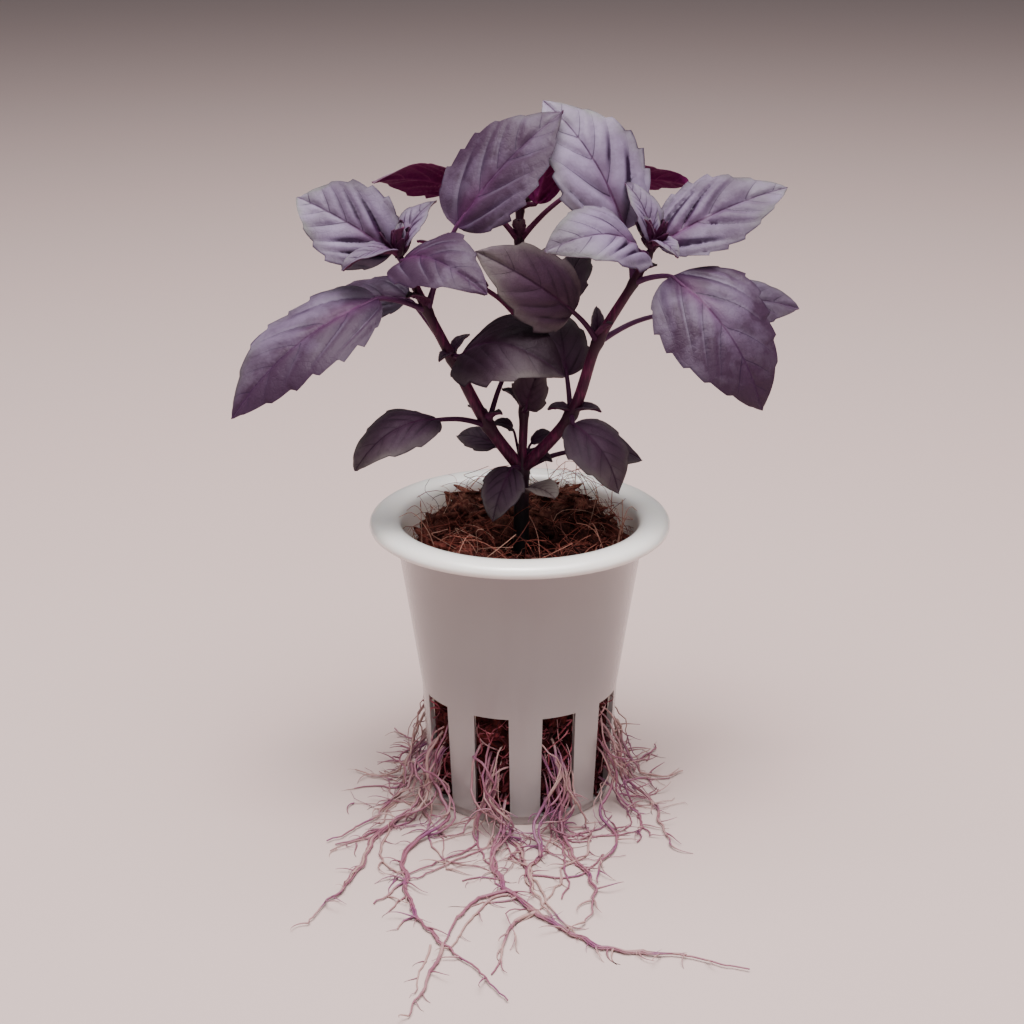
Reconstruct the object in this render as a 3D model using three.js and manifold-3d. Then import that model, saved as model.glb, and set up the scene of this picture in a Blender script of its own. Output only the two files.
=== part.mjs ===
// A young purple basil plant, rooted in coir, in a slotted hydroponic net cup.
// Units are millimetres, +Z is up, and the origin is the centre of the cup's base.
// The front of the plant looks along -Y. A bearing is measured from the front, towards +X.
import * as THREE from 'three';
import { mergeVertices } from 'three/addons/utils/BufferGeometryUtils.js';
import Module from 'manifold-3d';

const wasm = await Module();
wasm.setup();

// ---------------------------------------------------------------- driving dimensions

const GAP = 0.3; // clearance between pieces that touch in the real plant

const CUP = {
  height: 62.2,
  rimRadius: 31,
  rimThickness: 2.8,
  mouthRadius: 24.4,
  shoulderRadius: 25.7,
  slotTopRadius: 20.6,
  slotTopHeight: 24.8,
  ribFootRadius: 19.5,
  ribFootHeight: 2.2,
  footRadius: 18.9,
  floorThickness: 1.6,
  wall: 1.2,
  slots: 9,
  slotWidth: 7.4,
  firstSlotBearing: -16.5,
  sides: 36,
};

const PLUG = {
  surfaceHeight: 55.6,
  edgeRise: 2.6,
  lump: 0.7,
  rings: 5,
  sides: 30,
  fibres: 18,
  fibreRadius: 0.32,
  seed: 11,
};

const STEM = {
  buriedHeight: 45,
  baseRadius: 1.6,
  tipRadius: 0.75,
  shootRadius: 1.25,
  tipReach: 1.4,
  axilRise: 0.9,
  sides: 7,
};

const LEAF = {
  thickness: 0.6,
  ribDepth: 0.45,
  petioleRadius: 0.6,
  petioleEndRadius: 0.42,
  petioleSides: 4,
  basePower: 0.52,
  tipPower: 0.88,
  toothDepth: 0.075,
  firstTooth: 0.13,
  lastTooth: 0.96,
};

const ROOT = {
  radius: 0.55,
  tipRadius: 0.22,
  lateralRadius: 0.26,
  crownRadius: 1.0,
  crownTop: 20,
  crownFoot: 7,
  pitRadius: 1.7,
  floorGap: 0.1,
  sides: 4,
  seed: 5,
};

const COLOUR = {
  cup: 0xb5b0a6,
  coir: 0x4a2219,
  stem: 0x33151f,
  lit: 0x6c5b76,
  shaded: 0x473846,
  wine: 0x6b1f4a,
  root: 0xa0788a,
};

// Points that the three shoots pass through: x, y, z of each pair of leaves, and the growing tip.
const MAIN_NODES = [[0.4, 0, 71.5], [0.8, 1.5, 83.4], [0.4, 5, 101.3], [-0.2, 8.5, 117.4], [0, 10.2, 123.6]];
const MAIN_TIP = [0.1, 10.7, 125];
const SEED_LEAF_NODE = [0.3, 0, 66.5];
const LEFT_NODES = [[-6.5, -1, 81.4], [-13.6, -2, 95.7], [-18.4, -3, 105.8], [-22.7, -3.9, 115.4]];
const LEFT_TIP = [-23.5, -4.1, 117];
const RIGHT_NODES = [[10.3, -1, 83.6], [15.5, -2, 99.1], [22.4, -3, 111.5], [25, -3.9, 117]];
const RIGHT_TIP = [25.7, -4.1, 118.8];

// Leaves: the node that each grows from, its petiole and its blade.
// turn and rise are the direction in degrees, anticlockwise from +X and up from level.
// look is the way that the upper face looks, arch is the midrib's bow over the length,
// fold lifts both halves, curl bends the margins down, and tone names the colour.
const LEAVES = [
  { name: 'leaf_left_3_front', at: LEFT_NODES[2], petiole: [202, 18, 10.8], turn: 205, rise: -34,
    length: 37, width: 20, look: [-0.3, -0.58, 0.75], arch: 0.12, fold: 8, curl: 0.22, teeth: 6 },
  { name: 'leaf_left_3_back', at: LEFT_NODES[2], petiole: [334, 69, 18.5], turn: 19, rise: 44,
    length: 30.6, width: 20.5, look: [-0.37, -0.72, 0.58], arch: 0.08, fold: 14, curl: 0.2, teeth: 6 },
  { name: 'leaf_left_4_back', at: LEFT_NODES[3], petiole: [176, 48, 3], turn: 160, rise: 25,
    length: 22.5, width: 17.5, look: [-0.1, -0.86, 0.5], arch: 0.13, fold: 12, curl: 0.15, teeth: 5 },
  { name: 'leaf_left_4_front', at: LEFT_NODES[3], petiole: [262, 23, 2.6], turn: 313, rise: -5,
    length: 25, width: 15.5, look: [-0.3, -0.4, 0.85], arch: 0.18, fold: 10, curl: 0.25, teeth: 4 },
  { name: 'leaf_left_2_front', at: LEFT_NODES[1], petiole: [299, 20, 3.6], turn: 330, rise: -2,
    length: 24, width: 20, look: [-0.2, -0.45, 0.87], arch: 0.26, fold: 5, curl: 0.3, teeth: 4,
    tone: 'shaded' },
  { name: 'leaf_left_2_back', at: LEFT_NODES[1], petiole: [157, 50, 14.5], turn: 159, rise: -9,
    length: 18.5, width: 14, look: [-0.2, -0.5, 1], arch: 0.1, fold: 8, curl: 0.2, teeth: 4 },
  { name: 'leaf_left_1_front', at: LEFT_NODES[0], petiole: [207, 14, 11.4], turn: 207, rise: -24,
    length: 20, width: 13, look: [-0.2, -0.45, 0.87], arch: 0.2, fold: 5, curl: 0.25, teeth: 3,
    tone: 'shaded' },
  { name: 'leaf_left_1_back', at: LEFT_NODES[0], petiole: [49, 62, 11.3], turn: 77, rise: 44,
    length: 14, width: 10, look: [0, -0.5, 1], arch: 0.08, fold: 8, curl: 0.2, teeth: 3, tone: 'shaded' },
  { name: 'leaf_right_3_front', at: RIGHT_NODES[2], petiole: [329, 15, 8.4], turn: 330.5, rise: -50,
    length: 31.6, width: 23.5, look: [0.28, -0.8, 0.52], arch: 0.2, fold: 5, curl: 0.25, teeth: 6 },
  { name: 'leaf_right_3_back', at: RIGHT_NODES[2], petiole: [122, 70, 10.3], turn: 156, rise: 54,
    length: 30, width: 21, look: [0.32, -0.82, 0.46], arch: 0.16, fold: 12, curl: 0.2, teeth: 6 },
  { name: 'leaf_right_4_back', at: RIGHT_NODES[3], petiole: [32, 43, 2.8], turn: 17, rise: 19.8,
    length: 29, width: 16.5, look: [0, -0.7, 0.72], arch: 0.08, fold: 12, curl: 0.15, teeth: 6 },
  { name: 'leaf_right_4_front', at: RIGHT_NODES[3], petiole: [233, 25, 2.8], turn: 217, rise: 8,
    length: 24, width: 17, look: [0.4, -0.42, 0.8], arch: 0.2, fold: 10, curl: 0.22, teeth: 4 },
  { name: 'leaf_right_2_back', at: RIGHT_NODES[1], petiole: [28, 15, 15.4], turn: 8, rise: 0,
    length: 28.5, width: 17, look: [0.1, -0.5, 0.9], arch: 0.12, fold: 8, curl: 0.2, teeth: 5 },
  { name: 'leaf_right_2_front', at: RIGHT_NODES[1], petiole: [219, 48, 9.6], turn: 203, rise: 34,
    length: 25, width: 15.5, look: [0.2, -0.9, 0.35], arch: 0.14, fold: 8, curl: 0.25, teeth: 4,
    tone: 'shaded' },
  { name: 'leaf_right_1_front', at: RIGHT_NODES[0], petiole: [275, -9, 4.1], turn: 322, rise: -47,
    length: 17, width: 13, look: [0.35, -0.67, 0.65], arch: 0.2, fold: 5, curl: 0.25, teeth: 3,
    tone: 'shaded' },
  { name: 'leaf_right_1_back', at: RIGHT_NODES[0], petiole: [101, 60, 8.1], turn: 100, rise: 44,
    length: 15, width: 11, look: [0, -0.5, 1], arch: 0.08, fold: 8, curl: 0.2, teeth: 3, tone: 'shaded' },
  { name: 'leaf_centre_1_front', at: MAIN_NODES[1], petiole: [279, 29, 2.9], turn: 321, rise: 67,
    length: 12, width: 8, look: [-0.3, -0.8, 0.3], arch: 0.1, fold: 10, curl: 0.15, teeth: 3,
    tone: 'shaded' },
  { name: 'leaf_centre_2_left', at: MAIN_NODES[2], petiole: [196, 45, 10.6], turn: 165, rise: 32,
    length: 17, width: 12, look: [-0.2, 0.3, 1], arch: 0.12, fold: 8, curl: 0.2, teeth: 3, tone: 'wine' },
  { name: 'leaf_centre_2_right', at: MAIN_NODES[2], petiole: [353, 22, 8.3], turn: 48, rise: 51,
    length: 15, width: 11, look: [-0.5, -0.4, 0.8], arch: 0.1, fold: 8, curl: 0.2, teeth: 3,
    tone: 'shaded' },
  { name: 'leaf_centre_3_left', at: MAIN_NODES[3], petiole: [177, 44, 13.7], turn: 203, rise: 10,
    length: 21, width: 14, look: [0, 0.6, 0.8], arch: 0.1, fold: 8, curl: 0.2, teeth: 4, tone: 'wine' },
  { name: 'leaf_centre_3_right', at: MAIN_NODES[3], petiole: [20, 39, 14], turn: 352, rise: 6,
    length: 24, width: 15, look: [0, 0.6, 0.8], arch: 0.1, fold: 8, curl: 0.2, teeth: 4, tone: 'wine' },
  { name: 'leaf_centre_4_front', at: MAIN_NODES[4], petiole: [326, 18, 4], turn: 330, rise: 72,
    length: 12, width: 7.6, look: [0.2, 0.9, 0.3], arch: 0.1, fold: 12, curl: 0.15, teeth: 3, tone: 'wine' },
  { name: 'leaf_centre_4_back', at: MAIN_NODES[4], petiole: [103, 40, 2.4], turn: 103, rise: 22,
    length: 17, width: 12, look: [0, -0.2, 1], arch: 0.1, fold: 12, curl: 0.15, teeth: 3 },
  { name: 'leaf_base_front', at: MAIN_NODES[0], petiole: [243, 22, 4.8], turn: 238, rise: -52,
    length: 12, width: 9, look: [-0.3, -0.8, 0.5], arch: 0.12, fold: 6, curl: 0.2, teeth: 3,
    tone: 'shaded' },
  { name: 'leaf_base_back_left', at: MAIN_NODES[0], petiole: [142, 31, 7.6], turn: 154, rise: 5,
    length: 9.5, width: 7, look: [0, -0.5, 1], arch: 0.12, fold: 6, curl: 0.2, teeth: 3, tone: 'shaded' },
  { name: 'leaf_base_back_right', at: MAIN_NODES[0], petiole: [29, 10, 12.7], turn: 12, rise: -12,
    length: 15, width: 11, look: [0.2, -0.5, 1], arch: 0.14, fold: 6, curl: 0.2, teeth: 3, tone: 'shaded' },
];

// Small leaves in the axils and at the growing tips: [node, turn, rise, length, width].
const LEAFLETS = {
  main: [
    [SEED_LEAF_NODE, 305, 8, 10, 5], [SEED_LEAF_NODE, 110, 12, 8, 4.4], [MAIN_NODES[1], 165, 40, 6, 3.4],
    [MAIN_NODES[1], 15, 38, 6.5, 3.6], [MAIN_NODES[3], 268, 45, 6, 3], [MAIN_TIP, 215, 58, 8, 4.4],
    [MAIN_TIP, 95, 66, 7, 3.8], [MAIN_TIP, 160, 78, 5.5, 3],
  ],
  left: [
    [LEFT_NODES[0], 150, 30, 5.5, 3], [LEFT_NODES[0], 305, 30, 6, 3], [LEFT_NODES[1], 235, -5, 4.5, 2.6],
    [LEFT_NODES[1], 30, 42, 5.5, 2.8], [LEFT_NODES[2], 235, 26, 7.5, 3.6],
    [LEFT_TIP, 50, 44, 12, 5.6], [LEFT_TIP, 222, 4, 11, 5], [LEFT_TIP, 75, 78, 6, 3.2],
    [LEFT_TIP, 290, 66, 6, 3],
  ],
  right: [
    [RIGHT_NODES[0], 190, 35, 6, 3.2], [RIGHT_NODES[0], 350, 22, 7, 3.6], [RIGHT_NODES[1], 95, 62, 6.5, 3],
    [RIGHT_NODES[1], 315, 45, 5.5, 2.8], [RIGHT_NODES[2], 20, 26, 5.5, 2.6],
    [RIGHT_TIP, 120, 62, 12, 5.4], [RIGHT_TIP, 300, 20, 9, 4.4], [RIGHT_TIP, 60, 74, 6.5, 3.2],
    [RIGHT_TIP, 210, 66, 6, 3],
  ],
};

// Long roots, by node: the slot each leaves by, the height where it leaves the root crown,
// and the points [x, y] that it passes on the ground. A branch starts on the ground.
const ROOTS = {
  roots_front: {
    slots: [8, 0, 1],
    strands: [
      { slot: 8, leaves: 14,
        ground: [[-27.5, -21], [-32.4, -37.7], [-34.2, -45.2], [-37.6, -51], [-40, -58.5]] },
      { slot: 8, leaves: 11,
        ground: [[-22.4, -30], [-22.2, -45], [-19.5, -56], [-14.3, -66], [-8.8, -72.6], [-2.4, -84.6]] },
      { slot: 0, leaves: 12,
        ground: [
          [-5.2, -34], [-1.9, -46.4], [3, -54.7], [9, -61.5], [17, -67.5], [28, -69.6], [42, -74.6],
        ] },
      { slot: 0, leaves: 16, ground: [[-9.5, -29.5], [-15.8, -37.5], [-21, -38.8]] },
      { slot: 1, leaves: 15, ground: [[4.5, -31], [1.9, -38.8], [4.3, -51], [8, -60.5]] },
      { slot: 1, leaves: 10, ground: [[9.8, -28.6], [13.3, -38.7], [14.9, -47.5], [12.4, -58.7]] },
      { ground: [[-14.3, -66], [-15.2, -73.7], [-17.7, -82], [-19.2, -89.6]] },
      { ground: [[-1.9, -46.4], [-6.8, -48.8], [-11, -54.7], [-14.3, -66]] },
      { ground: [[3, -54.7], [-0.6, -58], [-3, -65], [-3.4, -72]] },
    ],
  },
  roots_right: {
    slots: [2],
    strands: [
      { slot: 2, leaves: 9, ground: [[19, -20], [19.6, -29], [18, -36], [18.6, -42]] },
      { slot: 2, leaves: 15, ground: [[28, -9], [29.4, -17], [30.8, -27.5]] },
      { slot: 2, leaves: 12, ground: [[24.6, -15.5], [26.6, -24.6]] },
    ],
  },
  roots_right_back: {
    slots: [3],
    strands: [
      { slot: 3, leaves: 13, ground: [[27, 3.5], [31.5, 2], [36, 4.5]] },
      { slot: 3, leaves: 9, ground: [[25, 9], [29, 13], [30.5, 18]] },
    ],
  },
  roots_back_right: {
    slots: [4],
    strands: [
      { slot: 4, leaves: 13, ground: [[17.5, 20], [21.5, 24], [22.5, 30]] },
      { slot: 4, leaves: 9, ground: [[13.5, 23], [13, 28], [15, 32]] },
    ],
  },
  roots_back: {
    slots: [5],
    strands: [
      { slot: 5, leaves: 13, ground: [[0.5, 27], [3, 31.5], [2, 37]] },
      { slot: 5, leaves: 9, ground: [[-4.5, 26.5], [-6.5, 31], [-5, 35]] },
    ],
  },
  roots_back_left: {
    slots: [6],
    strands: [
      { slot: 6, leaves: 13, ground: [[-20, 18.5], [-25, 20.5], [-28.5, 26]] },
      { slot: 6, leaves: 9, ground: [[-16, 22], [-17, 27], [-21, 31]] },
    ],
  },
  roots_left: {
    slots: [7],
    strands: [
      { slot: 7, leaves: 10, ground: [[-27, -8.5], [-30.5, -17], [-35, -23], [-39, -27.5]] },
      { slot: 7, leaves: 14, ground: [[-28, 3], [-32, 2.5], [-35.5, 5]] },
    ],
  },
};

// ---------------------------------------------------------------- shared helpers

const radians = THREE.MathUtils.degToRad;

/** A repeatable stream of numbers from 0 to 1. */
function randomStream(seed) {
  let state = seed;
  return () => {
    state = (state + 0x6d2b79f5) | 0;
    let value = Math.imul(state ^ (state >>> 15), 1 | state);
    value = (value + Math.imul(value ^ (value >>> 7), 61 | value)) ^ value;
    return ((value ^ (value >>> 14)) >>> 0) / 4294967296;
  };
}

/** A point at a bearing and distance from the cup's axis. */
function around(bearing, radius, z) {
  const angle = radians(bearing);
  return new THREE.Vector3(radius * Math.sin(angle), -radius * Math.cos(angle), z);
}

/** A unit vector from a turn about +Z and a rise above level, in degrees. */
function heading(turn, rise) {
  const level = Math.cos(radians(rise));
  return new THREE.Vector3(
    level * Math.cos(radians(turn)),
    level * Math.sin(radians(turn)),
    Math.sin(radians(rise)),
  );
}

/** The triangles of a geometry with shared vertices merged and collapsed triangles left out. */
function weld(geometry) {
  geometry.deleteAttribute('normal');
  geometry.deleteAttribute('uv');
  const welded = mergeVertices(geometry, 1e-4);
  const index = welded.index.array;
  const kept = [];
  for (let i = 0; i < index.length; i += 3) {
    const [a, b, c] = [index[i], index[i + 1], index[i + 2]];
    if (a !== b && b !== c && c !== a) kept.push(a, b, c);
  }
  welded.setIndex(kept);
  return welded;
}

/** A solid for cutting and joining, from a closed geometry. */
function toSolid(geometry) {
  const welded = weld(geometry);
  return new wasm.Manifold(new wasm.Mesh({
    numProp: 3,
    vertProperties: Float32Array.from(welded.attributes.position.array),
    triVerts: Uint32Array.from(welded.index.array),
  }));
}

/** The geometry of a solid. */
function toGeometry(solid) {
  const mesh = solid.getMesh();
  const geometry = new THREE.BufferGeometry();
  geometry.setAttribute('position', new THREE.BufferAttribute(mesh.vertProperties, 3));
  geometry.setIndex(new THREE.BufferAttribute(mesh.triVerts, 1));
  geometry.computeVertexNormals();
  return geometry;
}

/** The largest of the bodies that a cut leaves. */
function largestBody(solid) {
  return solid.decompose().reduce((best, body) => (body.volume() > best.volume() ? body : best));
}

/** All the solids of a list joined in one. */
function join(solids) {
  return solids.reduce((whole, solid) => whole.add(solid));
}

/** A tube with closed ends along a curve, no lower than lowest, with its radius from radiusAt(0 to 1). */
function bentTube(curve, radiusAt, sides, steps, lowest = -Infinity) {
  const geometry = new THREE.CylinderGeometry(1, 1, 1, sides, steps);
  const frames = curve.computeFrenetFrames(steps);
  const position = geometry.attributes.position;
  for (let i = 0; i < position.count; i += 1) {
    const row = Math.round((position.getY(i) + 0.5) * steps);
    const radius = radiusAt(row / steps);
    const point = curve.getPointAt(row / steps);
    point.addScaledVector(frames.normals[row], position.getX(i) * radius);
    point.addScaledVector(frames.binormals[row], -position.getZ(i) * radius);
    position.setXYZ(i, point.x, point.y, Math.max(point.z, lowest));
  }
  return toSolid(geometry);
}

/** A smooth curve through points given as [x, y, z] or as vectors. */
function smoothCurve(points) {
  const vectors = points.map((p) => (p.isVector3 ? p : new THREE.Vector3(...p)));
  return new THREE.CatmullRomCurve3(vectors, false, 'centripetal');
}

/** A solid turned about +Z from a profile of [radius, height] that starts and ends on the axis. */
function turned(profile, sides) {
  const geometry = new THREE.LatheGeometry(profile.map(([r, z]) => new THREE.Vector2(r, z)), sides);
  geometry.rotateX(Math.PI / 2);
  return geometry;
}

// ---------------------------------------------------------------- net cup

/** Outside radius of the cup's wall at a height. */
function cupRadius(z) {
  const shoulder = CUP.height - CUP.rimThickness;
  if (z < CUP.slotTopHeight) {
    const part = (z - CUP.ribFootHeight) / (CUP.slotTopHeight - CUP.ribFootHeight);
    return THREE.MathUtils.lerp(CUP.ribFootRadius, CUP.slotTopRadius, part);
  }
  const part = (z - CUP.slotTopHeight) / (shoulder - CUP.slotTopHeight);
  return THREE.MathUtils.lerp(CUP.slotTopRadius, CUP.shoulderRadius, part);
}

/** The cup: a thin turned shell with a round-edged rim, cut by upright slots above its foot. */
function netCup() {
  const { height, rimRadius, rimThickness, wall } = CUP;
  const shoulder = height - rimThickness;
  const footInside = CUP.floorThickness;
  const profile = [
    [0, 0],
    [CUP.footRadius - 0.4, 0],
    [CUP.footRadius, 0.4],
    [CUP.footRadius, CUP.ribFootHeight - 0.3],
    [CUP.ribFootRadius, CUP.ribFootHeight],
    [CUP.slotTopRadius, CUP.slotTopHeight],
    [CUP.shoulderRadius, shoulder],
    [rimRadius - 1.2, shoulder - 0.2],
    [rimRadius - 0.2, shoulder + 0.3],
    [rimRadius, shoulder + 1.1],
    [rimRadius - 0.5, shoulder + 2.1],
    [rimRadius - 1.7, height - 0.1],
    [rimRadius - 3.4, height],
    [CUP.mouthRadius + 1.3, height - 0.4],
    [CUP.mouthRadius + 0.3, height - 1.1],
    [CUP.mouthRadius, height - 2.2],
    [CUP.slotTopRadius - wall, CUP.slotTopHeight],
    [cupRadius(footInside) - wall, footInside],
    [0, footInside],
  ];
  let cup = toSolid(turned(profile, CUP.sides));
  const slotHeight = CUP.slotTopHeight - CUP.ribFootHeight;
  for (let i = 0; i < CUP.slots; i += 1) {
    const bearing = CUP.firstSlotBearing + (i * 360) / CUP.slots;
    const cutter = new THREE.BoxGeometry(CUP.slotWidth, 8, slotHeight);
    cutter.translate(0, -CUP.ribFootRadius, CUP.ribFootHeight + slotHeight / 2);
    cutter.rotateZ(radians(bearing));
    cup = cup.subtract(toSolid(cutter));
  }
  return cup;
}

// ---------------------------------------------------------------- stems

const pastTip = ([x, y, z]) => [x, y, z + STEM.tipReach];
const mainCurve = smoothCurve([[0.3, 0, STEM.buriedHeight], [0.3, 0, 56], ...MAIN_NODES, pastTip(MAIN_TIP)]);
const leftCurve = smoothCurve([MAIN_NODES[0], ...LEFT_NODES, pastTip(LEFT_TIP)]);
const rightCurve = smoothCurve([MAIN_NODES[0], ...RIGHT_NODES, pastTip(RIGHT_TIP)]);

/** A shoot along a curve that thins evenly, with its radius grown by extra. */
function shoot(curve, footRadius, steps, extra) {
  const radiusAt = (part) => THREE.MathUtils.lerp(footRadius, STEM.tipRadius, part ** 1.3) + extra;
  return bentTube(curve, radiusAt, STEM.sides, steps);
}

const mainShoot = (extra) => shoot(mainCurve, STEM.baseRadius, 12, extra);
const leftShoot = (extra) => shoot(leftCurve, STEM.shootRadius, 9, extra);
const rightShoot = (extra) => shoot(rightCurve, STEM.shootRadius, 9, extra);
const fatStem = mainShoot(GAP);

// ---------------------------------------------------------------- leaves

/** Half width of a blade, from 0 at its base and tip to 1 where it is widest. */
function outline(part) {
  const { basePower, tipPower } = LEAF;
  const widest = basePower / (basePower + tipPower);
  const peak = widest ** basePower * (1 - widest) ** tipPower;
  return (part ** basePower * (1 - part) ** tipPower) / peak;
}

/** The rows across a blade: its base, then a notch and a point for each tooth, then its tip. */
function bladeRows(teeth) {
  const rows = [{ part: 0, margin: 1 }];
  const pitch = (LEAF.lastTooth - LEAF.firstTooth) / teeth;
  for (let i = 0; i < teeth; i += 1) {
    const notch = LEAF.firstTooth + i * pitch;
    rows.push({ part: notch, margin: 1 - LEAF.toothDepth });
    rows.push({ part: notch + pitch * 0.7, margin: 1 + LEAF.toothDepth });
  }
  rows.push({ part: 1, margin: 1 });
  return rows;
}

/** A function that gives a blade's middle surface: part runs from base to tip, across from -1 to 1. */
function bladeSurface(leaf, origin) {
  const along = heading(leaf.turn, leaf.rise);
  const look = new THREE.Vector3(...leaf.look);
  const up = look.addScaledVector(along, -look.dot(along)).normalize();
  const side = new THREE.Vector3().crossVectors(up, along);
  const fold = radians(leaf.fold);
  return (part, across, margin = 1) => {
    const halfWidth = (leaf.width / 2) * outline(part) * margin;
    const span = halfWidth * Math.abs(across);
    const bow = leaf.arch * leaf.length * 4 * part * (1 - part);
    const lift = span * Math.sin(fold) - (leaf.curl * span * span) / (leaf.width / 2);
    return origin.clone()
      .addScaledVector(along, leaf.length * part)
      .addScaledVector(side, halfWidth * across * Math.cos(fold))
      .addScaledVector(up, bow + lift);
  };
}

/** The direction that a blade's upper face looks at a place on it. */
function bladeNormal(surface, part, across) {
  const place = THREE.MathUtils.clamp(part, 0.04, 0.96);
  const forward = surface(place + 0.02, across).sub(surface(place - 0.02, across));
  const sideways = surface(place, across + 0.1).sub(surface(place, across - 0.1));
  return forward.cross(sideways).normalize();
}

/** A closed blade of even thickness with a rib under its middle, split alike on both faces. */
function blade(surface, rows, columns, thickness, ribDepth) {
  const points = [];
  const count = columns.length;
  for (const lower of [false, true]) {
    for (const { part, margin } of rows) {
      const pointed = part === 0 || part === 1;
      for (const across of columns) {
        const edge = Math.abs(across) === 1 ? margin : 1;
        const rib = across === 0 && !pointed ? ribDepth * (1 - part) : 0;
        const offset = lower ? -thickness / 2 - rib : thickness / 2;
        const normal = bladeNormal(surface, part, pointed ? 0 : across);
        points.push(...surface(part, across, edge).addScaledVector(normal, offset));
      }
    }
  }
  const index = [];
  const quad = (a, b, c, d) => index.push(a, b, c, a, c, d);
  const underside = rows.length * count;
  for (let row = 0; row < rows.length - 1; row += 1) {
    const here = row * count;
    const next = here + count;
    for (let column = 0; column < count - 1; column += 1) {
      const [a, b, c, d] = [here + column, next + column, next + column + 1, here + column + 1];
      quad(a, b, c, d);
      index.push(underside + a, underside + c, underside + b, underside + a, underside + d, underside + c);
    }
    quad(here, underside + here, underside + next, next);
    const far = here + count - 1;
    const farNext = next + count - 1;
    quad(far, farNext, underside + farNext, underside + far);
  }
  const tip = (rows.length - 1) * count;
  for (let column = 0; column < count - 1; column += 1) {
    quad(column, column + 1, underside + column + 1, underside + column);
    quad(tip + column, underside + tip + column, underside + tip + column + 1, tip + column + 1);
  }
  const geometry = new THREE.BufferGeometry();
  geometry.setAttribute('position', new THREE.Float32BufferAttribute(points, 3));
  geometry.setIndex(index);
  return toSolid(geometry);
}

/** A leaf: its petiole from the node, running on under the blade as the start of the midrib. */
function leafSolid(leaf) {
  const start = new THREE.Vector3(...leaf.at);
  const [turn, rise, reach] = leaf.petiole;
  const base = start.clone().addScaledVector(heading(turn, rise), reach);
  const surface = bladeSurface(leaf, base);
  const bend = start.clone().lerp(base, 0.55).add(new THREE.Vector3(0, 0, reach * 0.05));
  const under = (part) => surface(part, 0).addScaledVector(bladeNormal(surface, part, 0), -0.25);
  const petiole = smoothCurve([start, bend, base, under(0.09)]);
  const radiusAt = (part) => THREE.MathUtils.lerp(LEAF.petioleRadius, LEAF.petioleEndRadius, part);
  const steps = reach > 6 ? 5 : 3;
  const stalk = bentTube(petiole, radiusAt, LEAF.petioleSides, steps);
  const columns = leaf.teeth > 3 ? [-1, -0.5, 0, 0.5, 1] : [-1, 0, 1];
  return stalk.add(blade(surface, bladeRows(leaf.teeth), columns, LEAF.thickness, LEAF.ribDepth));
}

/** A small leaf with a narrow base that starts inside the stem. */
function leaflet([node, turn, rise, length, width]) {
  const leaf = { turn, rise, length, width, look: [0, -0.2, 1], arch: 0.12, fold: 16, curl: 0.1 };
  const base = new THREE.Vector3(...node).add(new THREE.Vector3(0, 0, STEM.axilRise));
  const surface = bladeSurface(leaf, base);
  const rows = [0, 0.14, 0.42, 0.74, 1].map((part, i) => ({ part, margin: i === 1 ? 0.5 : 1 }));
  return blade(surface, rows, [-1, 0, 1], LEAF.thickness, 0.25);
}

/** A shoot joined with its small leaves, cut clear of what it grows from. */
function leafyShoot(stem, leaflets, carrier) {
  const grown = join([stem, ...leaflets.map(leaflet)]);
  return carrier ? largestBody(grown.subtract(carrier)) : grown;
}

// ---------------------------------------------------------------- growing medium

/** Height of the coir's surface, with a mound behind and to the right, and one at the back left. */
function coirSurface(x, y) {
  const radius = Math.hypot(x, y);
  const rise = PLUG.edgeRise * (radius / CUP.mouthRadius) ** 2;
  const rightMound = 4.6 * Math.exp(-((x - 13) ** 2 + (y - 17) ** 2) / 80);
  const leftMound = 2.4 * Math.exp(-((x + 13) ** 2 + (y - 15) ** 2) / 90);
  const lumps = PLUG.lump * Math.sin(x * 0.9 + y * 0.5) * Math.cos(y * 0.8 - x * 0.3);
  return PLUG.surfaceHeight + rise + rightMound + leftMound + lumps;
}

/** One loose fibre: a thin arched tube that starts well inside the coir. */
function fibre(bearing, radius, turn, reach, lift) {
  const start = around(bearing, radius, 0);
  start.z = coirSurface(start.x, start.y);
  const side = heading(turn, 0);
  const points = [
    start.clone().add(new THREE.Vector3(0, 0, -1.6)),
    start.clone().addScaledVector(side, reach * 0.25).add(new THREE.Vector3(0, 0, lift * 0.6)),
    start.clone().addScaledVector(side, reach * 0.65).add(new THREE.Vector3(0, 0, lift)),
    start.clone().addScaledVector(side, reach).add(new THREE.Vector3(0, 0, lift * 0.7)),
  ];
  return bentTube(smoothCurve(points), () => PLUG.fibreRadius, 3, 3);
}

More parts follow.
